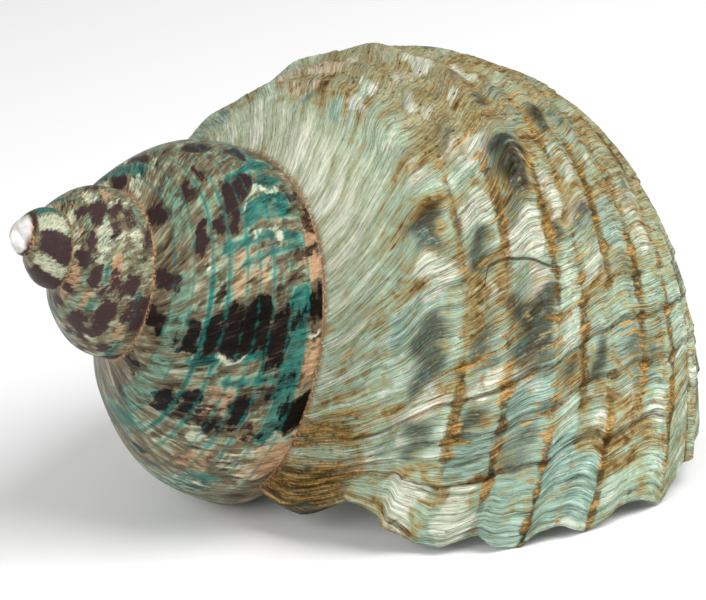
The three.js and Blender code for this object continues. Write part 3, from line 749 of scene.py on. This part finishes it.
def deposit_field(stage, across, line):
    """Ochre film: in the grooves between the cords, along growth breaks and over the shoulder by the lip."""
    worn = smooth(150, 215, stage)
    grooves = sum(
        (0.75 + 0.3 * np.sin(stage / 7 + 40 * place)) * bell((across - place) / 0.014) for place in GROOVES
    )
    breaks = sum(strength * bell((line - place - 0.3) / 0.45) for place, strength in GROWTH_BREAKS)
    grooves *= 0.25 * worn + 0.25 * smooth(285, 315, stage) + 0.35 * smooth(348, 358, stage)
    breaks *= smooth(0.02, 0.3, across) * worn
    shoulder = patches(line, across, SHOULDER_FILM, 6, 0.1)
    film = 0.3 * smooth(0.2, 0.4, across) * smooth(270, 310, stage) * (1 - smooth(345, 358, stage))
    return np.clip(grooves + 0.35 * breaks + shoulder + film * (1 - smooth(1.4, 1.6, across)), 0, 1)


def set_colours(mesh, name, channels):
    """Stores four fields as one attribute at the face corners."""
    layer = mesh.attributes.new(name, "FLOAT_COLOR", "CORNER")
    layer.data.foreach_set("color", np.stack(channels, -1).astype(np.float32).ravel())


def make_mesh(shell):
    """Mesh of the surface in metres at its resting place, with its growth map and fields."""
    turn = np.array(rest_matrix())
    coil_points = np.concatenate(shell.points)
    points = (coil_points @ turn.T + APEX_PLACE) / 1000
    faces = np.concatenate(shell.faces)
    depth = -coil_points[faces.ravel(), 2]
    place = np.concatenate(shell.corners).reshape(-1, 2)
    slots = np.concatenate(shell.slots)
    middles = place.reshape(-1, 3, 2).mean(1)
    lip_edge = (middles[:, 0] > LIP_STAGE - 0.3) & (middles[:, 1] < AXIS - 0.05)
    slots = np.where(lip_edge, OUTSIDE, slots)
    mesh = bpy.data.meshes.new("turban_shell")
    mesh.vertices.add(len(points))
    mesh.vertices.foreach_set("co", points.astype(np.float32).ravel())
    mesh.loops.add(faces.size)
    mesh.loops.foreach_set("vertex_index", faces.astype(np.int32).ravel())
    mesh.polygons.add(len(faces))
    mesh.polygons.foreach_set("loop_start", np.arange(0, faces.size, 3, dtype=np.int32))
    mesh.polygons.foreach_set("material_index", slots.astype(np.int32))
    mesh.polygons.foreach_set("use_smooth", np.ones(len(faces), bool))
    stage, across = place[:, 0], place[:, 1]
    line = growth(stage, across)
    outer = np.repeat(slots == OUTSIDE, 3)
    turns = np.where(outer, line, stage) / 360.0
    layer = mesh.uv_layers.new(name="growth")
    layer.data.foreach_set("uv", np.stack([turns, across], -1).astype(np.float32).ravel())
    wavy = stage + 0.8 * drift(stage, across)
    patchy = wobble(wavy, across)
    tip_ring = 0.9 * bell((depth - TIP_DEPTH - 0.45) / 0.3)
    set_colours(mesh, "marks", [
        np.maximum(dark_field(*patchy), tip_ring), teal_field(wavy, across),
        light_field(*patchy), peach_field(*patchy),
    ])
    set_colours(mesh, "age", [
        body_share(stage), patches(wavy, across, TAN_WEAR, 7, 0.05),
        deposit_field(stage, across, line), 1 - smooth(TIP_DEPTH - 0.2, TIP_DEPTH + 0.2, depth),
    ])
    set_colours(mesh, "tones", [
        mixed_tones(stage, wavy, across, 3), mixed_tones(stage, wavy, across, 5),
        flames(wavy, across), crack_side(wavy, across),
    ])
    mesh.update()
    mesh.validate()
    return mesh


class Nodes:
    """Short calls for making and joining the nodes of one tree."""

    def __init__(self, tree):
        """Keeps the tree that the nodes go into."""
        self.tree = tree

    def add(self, kind, inputs=None, **settings):
        """Adds a node, sets its properties, and sets or links its inputs by name or number."""
        node = self.tree.nodes.new(kind)
        for name, value in settings.items():
            setattr(node, name, value)
        for name, value in (inputs or {}).items():
            if isinstance(value, bpy.types.NodeSocket):
                self.tree.links.new(value, node.inputs[name])
            else:
                node.inputs[name].default_value = value
        return node

    def math(self, operation, a, b=0.0):
        """Result of a Math node."""
        return self.add("ShaderNodeMath", {0: a, 1: b}, operation=operation).outputs[0]

    def plus(self, *values):
        """Sum of several values."""
        total = values[0]
        for value in values[1:]:
            total = self.math("ADD", total, value)
        return total

    def times(self, a, b):
        """Product of two values."""
        return self.math("MULTIPLY", a, b)

    def weigh(self, *parts):
        """Sum of values, each times its weight."""
        return self.plus(*(self.times(value, weight) for value, weight in parts))

    def away(self, value, middle):
        """How far a value is from a middle."""
        return self.math("ABSOLUTE", self.plus(value, -middle))

    def step(self, value, low, high):
        """Soft step of a value from 0 at low to 1 at high."""
        inputs = {"Value": value, "From Min": low, "From Max": high}
        return self.add("ShaderNodeMapRange", inputs, interpolation_type="SMOOTHSTEP").outputs[0]

    def spread(self, value, low=0.36, high=0.64):
        """Noise value stretched to use the whole range from 0 to 1."""
        return self.add("ShaderNodeMapRange", {"Value": value, "From Min": low, "From Max": high}).outputs[0]

    def mix(self, share, first, second):
        """Colour between two colours."""
        node = self.add("ShaderNodeMix", {0: share}, data_type="RGBA")
        for socket, value in ((node.inputs[6], first), (node.inputs[7], second)):
            if isinstance(value, bpy.types.NodeSocket):
                self.tree.links.new(value, socket)
            else:
                socket.default_value = (*value, 1.0)
        return node.outputs[2]

    def ramp(self, value, stops):
        """Colour along a list of positions and colours."""
        node = self.add("ShaderNodeValToRGB", {0: value})
        elements = node.color_ramp.elements
        while len(elements) < len(stops):
            elements.new(0.5)
        for element, (position, colour) in zip(elements, stops):
            element.position = position
            element.color = (*colour, 1.0)
        return node.outputs[0]

    def noise(self, vector, scale=1.0, detail=3.0, rough=0.5, twist=0.0):
        """Value of a noise texture."""
        inputs = {"Vector": vector, "Scale": scale, "Detail": detail, "Roughness": rough, "Distortion": twist}
        return self.add("ShaderNodeTexNoise", inputs).outputs[0]

    def scaled(self, x, y, x_scale, y_scale, z=0.0):
        """Vector of two values, each times its own scale."""
        inputs = {0: self.times(x, x_scale), 1: self.times(y, y_scale), 2: z}
        return self.add("ShaderNodeCombineXYZ", inputs).outputs[0]


def group_sockets(group, inputs, outputs):
    """Names the inputs and outputs of a node group."""
    for name, kind in inputs:
        group.interface.new_socket(name, in_out="INPUT", socket_type=kind)
    for name, kind in outputs:
        group.interface.new_socket(name, in_out="OUTPUT", socket_type=kind)


def peaks(places, width):
    """Grey stops of a ramp that rises to each place's strength and falls to black beside it."""
    greys = [(0.0, 0.0)]
    for place, strength in places:
        greys += [(place - width, 0.0), (place, strength), (place + width, 0.0)]
    return [(position, (grey,) * 3) for position, grey in greys]


def make_growth_lines():
    """Group: streaks, bands and lines along the lip's edge, and blotches and stripes along the coil."""
    group = bpy.data.node_groups.new("growth_lines", "ShaderNodeTree")
    names = ("Fine", "Hair", "Broad", "Patch", "Weave", "Band", "Line", "Thread", "BreakLineAndShadow", "Stripe")
    group_sockets(group, [("Map", "NodeSocketVector")], [(name, "NodeSocketFloat") for name in names])
    n = Nodes(group)
    split = n.add("ShaderNodeSeparateXYZ", {0: n.add("NodeGroupInput").outputs["Map"]})
    line, across = n.times(split.outputs[0], 360.0), split.outputs[1]

    def streaks(line_scale, across_scale, place, *settings):
        """Noise stretched along the growth lines: its scale by degrees of growth and by across."""
        return n.noise(n.scaled(line, across, line_scale, across_scale, place), 1.0, *settings)

    wander = streaks(0.42, 2.2, 8.1, 4.0, 0.6)
    thread = streaks(1.5, 3.4, 6.6, 3.0, 0.6)
    waver = n.plus(line, n.times(streaks(0.3, 24.0, 4.4, 3.0, 0.6), 1.2), -0.6)
    # The break output draws dark lines at the growth breaks: partly the shell's brown line, partly painted
    # shadow under each ledge step.
    break_span = BREAK_RANGE[1] - BREAK_RANGE[0]
    along = n.times(n.plus(waver, -float(BREAK_RANGE[0])), 1.0 / break_span)
    places = [((place - BREAK_RANGE[0]) / break_span, strength) for place, strength in GROWTH_BREAKS]
    outputs = {
        "Fine": streaks(1.1, 9.0, 0.0, 5.0, 0.68, 0.4),
        "Hair": streaks(3.4, 15.0, 2.2, 3.0, 0.62, 0.3),
        "Broad": streaks(0.15, 6.0, 3.7, 4.0, 0.55, 0.6),
        "Patch": streaks(0.4, 11.0, 9.4, 4.0, 0.6, 0.5),
        "Weave": streaks(0.22, 34.0, 1.9, 3.0, 0.6),
        "Band": streaks(0.5, 2.6, 5.3, 4.0, 0.7, 0.3),
        "Line": n.step(n.away(wander, 0.5), 0.014, 0.0),
        "Thread": n.step(n.away(thread, 0.5), 0.03, 0.0),
        "BreakLineAndShadow": n.ramp(along, peaks(places, BREAK_WIDTH / break_span)),
        "Stripe": n.ramp(
            n.plus(across, n.times(n.plus(wander, -0.5), 0.03)),
            peaks([(place, 1.0) for place in SPIRE_LINES[1:-1]], STRIPE_WIDTH),
        ),
    }
    n.add("NodeGroupOutput", outputs)
    return group


def ragged(n, field, edge_noise, low=0.34, high=0.74, share=1.7):
    """Mask with ragged soft edges: a soft field moved by noise, then stepped."""
    moved = n.plus(field, n.times(n.plus(edge_noise, -0.5), share))
    return n.times(n.step(moved, low, high), n.step(field, 0.02, 0.2))


def lay(n, colour, layer, field, edge_noise, strength, *bounds):
    """A second colour laid over a first where a field is high, with ragged soft edges."""
    return n.mix(n.times(ragged(n, field, edge_noise, *bounds), strength), colour, layer)


def new_material(name):
    """An empty material with its shader and output in place."""
    material = bpy.data.materials.new(name)
    material.use_nodes = True
    material.node_tree.nodes.clear()
    n = Nodes(material.node_tree)
    shader = n.add("ShaderNodeBsdfPrincipled")
    n.add("ShaderNodeOutputMaterial", {"Surface": shader.outputs[0]})
    return material, n, shader


def lines_of(n, lines):
    """The growth line group of a material, reading the growth map."""
    group = n.add("ShaderNodeGroup", node_tree=lines)
    n.tree.links.new(n.add("ShaderNodeUVMap", uv_map="growth").outputs[0], group.inputs[0])
    return group.outputs


def channels_of(n, name):
    """The four fields stored in an attribute."""
    node = n.add("ShaderNodeAttribute", attribute_name=name)
    split = n.add("ShaderNodeSeparateColor", {0: node.outputs["Color"]})
    return (*split.outputs[:3], node.outputs["Alpha"])


def tone(red, green, blue):
    """Linear colour from display values of 0 to 255."""
    values = np.array([red, green, blue]) / 255
    linear = np.where(values <= 0.04045, values / 12.92, ((values + 0.055) / 1.055) ** 2.4)
    return tuple(float(value) for value in linear)


def stops(*rows):
    """Stops of a colour ramp: the position and the display colour of each."""
    return [(position, tone(*colour)) for position, *colour in rows]


BODY_TONES = stops(
    (0.38, 88, 64, 30), (0.43, 146, 120, 72), (0.475, 168, 158, 114),
    (0.52, 160, 180, 152), (0.565, 184, 204, 180), (0.63, 238, 236, 216),
)
WORN_TONES = stops(
    (0.37, 62, 44, 22), (0.44, 124, 96, 54), (0.5, 160, 142, 96),
    (0.56, 176, 170, 130), (0.62, 222, 208, 176),
)
OCHRE_TONES = stops((0.43, 22, 15, 2), (0.475, 72, 50, 8), (0.525, 136, 98, 34), (0.58, 196, 154, 88))
SPIRE_TONES = stops(
    (0.37, 24, 14, 10), (0.43, 60, 44, 34), (0.475, 84, 80, 60),
    (0.52, 110, 94, 72), (0.565, 126, 130, 104), (0.63, 180, 166, 138),
)
SMOKE_TONES = stops(
    (0.41, 2, 14, 8), (0.46, 16, 46, 34), (0.5, 66, 44, 42), (0.55, 64, 92, 78), (0.62, 150, 146, 128),
)
BLACK_TONES = stops((0.42, 1, 1, 1), (0.53, 5, 2, 2), (0.59, 28, 17, 17), (0.66, 66, 48, 46))
PEARL_TONES = [
    (0.35, (0.60, 0.50, 0.47)), (0.45, (0.72, 0.70, 0.62)),
    (0.53, (0.62, 0.72, 0.66)), (0.62, (0.82, 0.80, 0.76)),
]


def body_base(n, lines, mottle, block, hair, silk, near_suture):
    """Streaks of tan, sage, mint and cream along the growth lines, silkier and banded near the suture."""
    value = n.plus(n.weigh(
        (lines["Fine"], 0.2), (lines["Hair"], 0.14), (lines["Patch"], 0.24),
        (lines["Broad"], 0.14), (mottle, 0.28), (n.plus(block, -0.5), 0.1),
    ), -0.5)
    banded = n.times(near_suture, n.times(n.plus(lines["Band"], -0.5), 0.3))
    calmed = n.times(value, n.plus(n.times(silk, -0.4), 1.0))
    value = n.plus(calmed, n.weigh((silk, 0.034), (near_suture, 0.008)), 0.507, banded)
    value = n.plus(n.times(n.plus(value, -0.515), 1.08), 0.518)
    return n.mix(n.times(silk, n.times(hair, 0.4)), n.ramp(value, BODY_TONES), tone(222, 196, 148))


def body_lines(n, colour, lines, hair, silk, deposit, crack, turns, across):
    """Thin brown growth lines, dark lines at the growth breaks that are partly painted shadow under the ledge
    steps, and the crack at the third knob.
    """
    strength = n.times(n.plus(n.times(deposit, 0.3), 0.7, n.times(silk, -0.4)), hair)
    colour = n.mix(n.times(lines["Thread"], strength), colour, tone(84, 57, 28))
    colour = n.mix(n.times(lines["Line"], n.plus(n.times(hair, 0.5), 0.15)), colour, tone(66, 46, 26))
    # Dark lines at the growth breaks: partly the shell's brown line, partly painted shadow under each ledge
    # step.
    breaks = n.times(lines["BreakLineAndShadow"], n.times(n.plus(hair, 0.8), n.step(across, 0.04, 0.24)))
    colour = n.mix(breaks, colour, tone(40, 24, 8))
    line = n.step(n.away(crack, 0.5), 0.05, 0.015)
    start, end = CRACK[0, 0], CRACK[-1, 0]
    length = n.times(n.step(across, start - 0.01, start), n.step(across, end + 0.01, end))
    length = n.times(length, n.times(n.step(turns, 0.8, 0.85), n.step(turns, 0.97, 0.93)))
    return n.mix(n.times(line, n.times(length, 0.8)), colour, tone(58, 40, 18))


def body_colour(n, lines, grain, mottle, marks, age, tones, turns, across):
    """Worn last whorl: streaks, then patches, dark smoke and the ochre film over them, and brown lines."""
    dark, teal, light, pink = marks
    _, tan, deposit, _ = age
    block, hue, flame, crack = tones
    fine, patch = lines["Fine"], lines["Patch"]
    streak = n.spread(fine)
    hair = n.spread(lines["Hair"])
    near_suture = n.step(across, 0.3, 0.14)
    silk = n.times(near_suture, n.step(turns, 0.86, 0.78))
    colour = body_base(n, lines, mottle, block, hair, silk, near_suture)
    edge = n.weigh((fine, 0.3), (patch, 0.35), (mottle, 0.35))
    aqua = n.mix(streak, tone(56, 100, 90), tone(172, 206, 192))
    cool = n.plus(n.times(n.step(hue, 0.55, 0.95), 0.4), teal)
    colour = lay(n, colour, aqua, cool, edge, 0.75, 0.24, 0.7)
    worn = n.ramp(n.weigh((edge, 0.35), (grain, 0.35), (lines["Broad"], 0.3)), WORN_TONES)
    colour = lay(n, colour, worn, tan, edge, 0.88, 0.3, 0.8, 3.0)
    rosy = n.mix(streak, tone(176, 144, 112), tone(244, 226, 204))
    warm = n.plus(n.times(n.step(hue, 0.4, 0.05), 0.35), pink)
    colour = lay(n, colour, rosy, warm, edge, 0.65)
    # Pale cream layer, which also carries the painted highlights on the crests of the two largest knobs.
    pale = n.mix(streak, tone(150, 170, 142), tone(252, 248, 230))
    colour = lay(n, colour, pale, light, edge, 0.85)
    tongue = n.mix(hair, tone(214, 224, 196), tone(250, 250, 234))
    colour = n.mix(n.times(flame, 0.95), colour, tongue)
    # Dark layer: over the two largest knobs it is partly painted shade on their sides.
    smoke = n.ramp(n.weigh((patch, 0.3), (fine, 0.3), (mottle, 0.4)), SMOKE_TONES)
    smoke_edge = n.weigh((fine, 0.35), (patch, 0.35), (mottle, 0.3))
    colour = lay(n, colour, smoke, dark, smoke_edge, 0.92, 0.16, 0.86, 3.0)
    ochre = n.ramp(n.weigh((fine, 0.3), (patch, 0.5), (grain, 0.2)), OCHRE_TONES)
    film_edge = n.weigh((fine, 0.25), (patch, 0.45), (mottle, 0.3))
    colour = lay(n, colour, ochre, deposit, film_edge, 0.9, 0.4, 0.7, 3.0)
    return body_lines(n, colour, lines, hair, silk, deposit, crack, turns, across)


def spire_colour(n, lines, marks, tones, turns):
    """Polished spire: olive and beige with teal stripes, cream and peach patches and near-black blocks."""
    dark, teal, light, peach = marks
    block, hue, _, _ = tones
    fine, patch = lines["Fine"], lines["Patch"]
    streak = n.spread(n.weigh((fine, 0.4), (patch, 0.6)))
    young = n.step(turns, -0.6, -0.85)
    early = n.step(turns, -0.12, -0.26)
    late = n.step(turns, 0.02, 0.12)
    value = n.weigh(
        (fine, 0.2), (patch, 0.3), (lines["Broad"], 0.3), (n.plus(block, -0.6), 0.08),
        (young, 0.012), (early, 0.016), (late, 0.02),
    )
    colour = n.ramp(n.plus(value, 0.1), SPIRE_TONES)
    edge = n.weigh((lines["Weave"], 0.4), (patch, 0.6))
    warm = n.mix(streak, tone(134, 96, 66), tone(216, 174, 134))
    rosy = n.plus(n.times(n.step(hue, 0.4, 0.05), 0.3), peach)
    colour = lay(n, colour, warm, rosy, edge, 0.65, 0.34, 0.74, 2.4)
    mint = n.mix(streak, tone(44, 88, 74), tone(138, 172, 146))
    deep_teal = n.mix(streak, tone(0, 30, 28), tone(22, 126, 116))
    green = n.mix(n.step(teal, 0.5, 0.85), mint, deep_teal)
    colour = lay(n, colour, green, teal, edge, 0.8, 0.26, 0.8, 3.0)
    pale = n.mix(streak, tone(104, 146, 122), tone(224, 212, 184))
    colour = lay(n, colour, pale, light, edge, 0.8, 0.3, 0.9, 2.8)
    black = n.ramp(n.weigh((fine, 0.5), (lines["Broad"], 0.5)), BLACK_TONES)
    faded = n.weigh((young, 0.15), (n.step(turns, -0.05, -0.12), 0.22))
    black = n.mix(faded, black, tone(92, 68, 70))
    colour = lay(n, colour, black, dark, edge, 0.98, 0.14, 0.6, 3.2)
    stripe = n.weigh((lines["Stripe"], 0.9), (n.plus(patch, -0.5), 2.6))
    stripe = n.times(n.step(stripe, 0.3, 1.1), n.step(lines["Stripe"], 0.0, 0.3))
    stripe = n.times(stripe, n.step(turns, -0.85, -0.4))
    colour = n.mix(n.times(stripe, n.plus(n.times(dark, -0.35), 0.65)), colour, deep_teal)
    colour = n.mix(n.times(lines["Thread"], 0.3), colour, tone(36, 24, 16))
    return n.mix(n.times(lines["Line"], 0.4), colour, tone(24, 16, 12))


def seam_colour(n, colour, across, grain, body):
    """Brown crust along the suture, on both sides of it."""
    other_side = n.step(n.away(across, 1.0), 0.014, 0.002)
    seam = n.plus(n.step(across, 0.02, 0.002), n.times(other_side, n.step(body, 0.5, 0.1)))
    crust = n.mix(n.spread(grain), tone(58, 36, 20), tone(176, 132, 92))
    return n.mix(n.times(seam, n.step(grain, 0.34, 0.56)), colour, crust)


def make_outside(lines_group):
    """Outside: the worn body and the polished spire, blended by age, with growth lines and pits in relief."""
    material, n, shader = new_material("shell_outside")
    lines = lines_of(n, lines_group)
    marks, age, tones = (channels_of(n, name) for name in ("marks", "age", "tones"))
    body_part, worn_part, white_part = age[0], age[1], age[3]
    growth_uv = n.add("ShaderNodeUVMap", uv_map="growth").outputs[0]
    turns, across = n.add("ShaderNodeSeparateXYZ", {0: growth_uv}).outputs[:2]
    place = n.add("ShaderNodeTexCoord").outputs["Object"]
    grain = n.noise(place, 1500.0, 4.0, 0.65)
    mottle = n.noise(place, 330.0, 5.0, 0.6, 0.6)
    body = body_colour(n, lines, grain, mottle, marks, age, tones, turns, across)
    spire = spire_colour(n, lines, marks, tones, turns)
    colour = n.mix(body_part, spire, body)
    pit_cells = n.add("ShaderNodeTexVoronoi", {"Vector": place, "Scale": 460.0}).outputs["Distance"]
    pitted = n.times(n.step(grain, 0.5, 0.56), n.step(worn_part, 0.2, 0.7))
    pits = n.times(n.step(pit_cells, 0.26, 0.14), pitted)
    colour = n.mix(n.times(pits, 0.85), colour, tone(52, 34, 16))
    colour = seam_colour(n, colour, across, grain, body_part)
    colour = n.mix(white_part, colour, n.mix(n.spread(mottle), tone(176, 172, 166), tone(214, 212, 210)))
    n.tree.links.new(colour, shader.inputs["Base Color"])
    rough = n.plus(n.weigh((body_part, 0.28), (grain, 0.12)), 0.24)
    n.tree.links.new(rough, shader.inputs["Roughness"])
    shader.inputs["Specular IOR Level"].default_value = 0.06
    polish = n.times(n.math("SUBTRACT", 1.0, body_part), 0.03)
    n.tree.links.new(polish, shader.inputs["Coat Weight"])
    shader.inputs["Coat Roughness"].default_value = 0.12
    steps = n.weigh(
        (lines["Fine"], 1.0), (lines["Hair"], 0.8), (grain, 0.3),
        (lines["Line"], -0.25), (lines["Thread"], -0.12),
    )
    raised = n.plus(n.times(steps, n.plus(n.times(body_part, 0.94), 0.06)), n.times(pits, -0.5))
    bump = n.add("ShaderNodeBump", {"Height": raised, "Strength": 1.0, "Distance": 0.0008})
    n.tree.links.new(bump.outputs[0], shader.inputs["Normal"])
    return material


def make_pearl(lines_group):
    """Inside, rim and columella: smooth mother of pearl with faint bands of pink and green."""
    material, n, shader = new_material("mother_of_pearl")
    lines = lines_of(n, lines_group)
    place = n.add("ShaderNodeTexCoord").outputs["Object"]
    cloud = n.noise(place, 45.0, 3.0, 0.5)
    sheen = n.weigh((cloud, 0.7), (lines["Fine"], 0.3))
    n.tree.links.new(n.ramp(sheen, PEARL_TONES), shader.inputs["Base Color"])
    rough = n.plus(n.times(cloud, 0.15), 0.16)
    n.tree.links.new(rough, shader.inputs["Roughness"])
    shader.inputs["Metallic"].default_value = 0.15
    shader.inputs["Coat Weight"].default_value = 0.4
    shader.inputs["Coat Roughness"].default_value = 0.1
    bump = n.add("ShaderNodeBump", {"Height": lines["Fine"], "Strength": 0.25, "Distance": 0.0003})
    n.tree.links.new(bump.outputs[0], shader.inputs["Normal"])
    return material


def make_shell():
    """The shell as one closed piece at the origin, with its two finishes."""
    mesh = make_mesh(make_surface())
    lines = make_growth_lines()
    mesh.materials.append(make_outside(lines))
    mesh.materials.append(make_pearl(lines))
    shell = bpy.data.objects.new("turban_shell", mesh)
    bpy.context.scene.collection.objects.link(shell)
    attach(shell, "root")
    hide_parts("shell")


# The picture: the camera's direction in the coil's frame, its distance, and where the apex is from its axis
VIEW_TILT = np.radians(32.33)
VIEW_SWING = np.radians(-16.33)
PICTURE_WIDTH = 706
FOCAL_PIXELS = 4000.0
PIXEL = SUTURE_RADIUS / 173.9
CAMERA_FROM_APEX = np.array([353.7, -73.7, 4000.0])
SENSOR = 36.0

# Half width and height of the floor, in metres
FLOOR_SIZE = 6.0
FLOOR_HEIGHT = -0.0002


def make_camera():
    """Camera at the photograph's angle: its axes in the coil's frame, turned as the shell rests."""
    axis = np.array([
        -np.cos(VIEW_TILT) * np.cos(VIEW_SWING), -np.cos(VIEW_TILT) * np.sin(VIEW_SWING), np.sin(VIEW_TILT),
    ])
    side = np.array([
        np.sin(VIEW_TILT) * np.cos(VIEW_SWING), np.sin(VIEW_TILT) * np.sin(VIEW_SWING), np.cos(VIEW_TILT),
    ])
    coil_to_camera = np.stack([side, np.cross(axis, side), axis], 1)
    turn = np.array(rest_matrix()) @ coil_to_camera.T
    data = bpy.data.cameras.new("camera")
    data.sensor_width = SENSOR
    data.lens = SENSOR * FOCAL_PIXELS / PICTURE_WIDTH
    data.clip_start = 0.01
    camera = bpy.data.objects.new("camera", data)
    matrix = np.eye(4)
    matrix[:3, :3] = turn
    matrix[:3, 3] = (turn @ CAMERA_FROM_APEX * PIXEL + APEX_PLACE) / 1000
    camera.matrix_world = Matrix(matrix.tolist())
    bpy.context.scene.collection.objects.link(camera)
    bpy.context.scene.camera = camera


def make_floor():
    """Pale floor that fills the view."""
    mesh = bpy.data.meshes.new("floor")
    signs = ((-1, -1), (1, -1), (1, 1), (-1, 1))
    corners = [(x * FLOOR_SIZE, y * FLOOR_SIZE, FLOOR_HEIGHT) for x, y in signs]
    mesh.from_pydata(corners, [], [(0, 1, 2, 3)])
    material, _, shader = new_material("pale_floor")
    shader.inputs["Base Color"].default_value = (0.92, 0.92, 0.92, 1.0)
    shader.inputs["Roughness"].default_value = 0.7
    mesh.materials.append(material)
    floor = bpy.data.objects.new("floor", mesh)
    bpy.context.scene.collection.objects.link(floor)


def add_softbox(name, place, size, power):
    """Square area light that faces the shell."""
    data = bpy.data.lights.new(name, "AREA")
    data.size = size
    data.energy = power
    light = bpy.data.objects.new(name, data)
    place = Vector(place)
    light.location = place
    light.rotation_euler = (Vector((0, 0, 0.04)) - place).to_track_quat("-Z", "Y").to_euler()
    bpy.context.scene.collection.objects.link(light)


def make_light():
    """Soft studio light: two large softboxes and a pale surround."""
    add_softbox("key", (0.7, -0.5, 0.85), 0.9, 18.5)
    add_softbox("fill", (-0.7, -0.8, 0.6), 0.8, 8.0)
    world = bpy.data.worlds.new("surround")
    world.use_nodes = True
    world.node_tree.nodes["Background"].inputs[0].default_value = (1.0, 1.0, 1.0, 1.0)
    world.node_tree.nodes["Background"].inputs[1].default_value = 0.42
    bpy.context.scene.world = world
    bpy.context.scene.view_settings.view_transform = "Standard"


make_camera()
make_floor()
make_light()
make_shell()
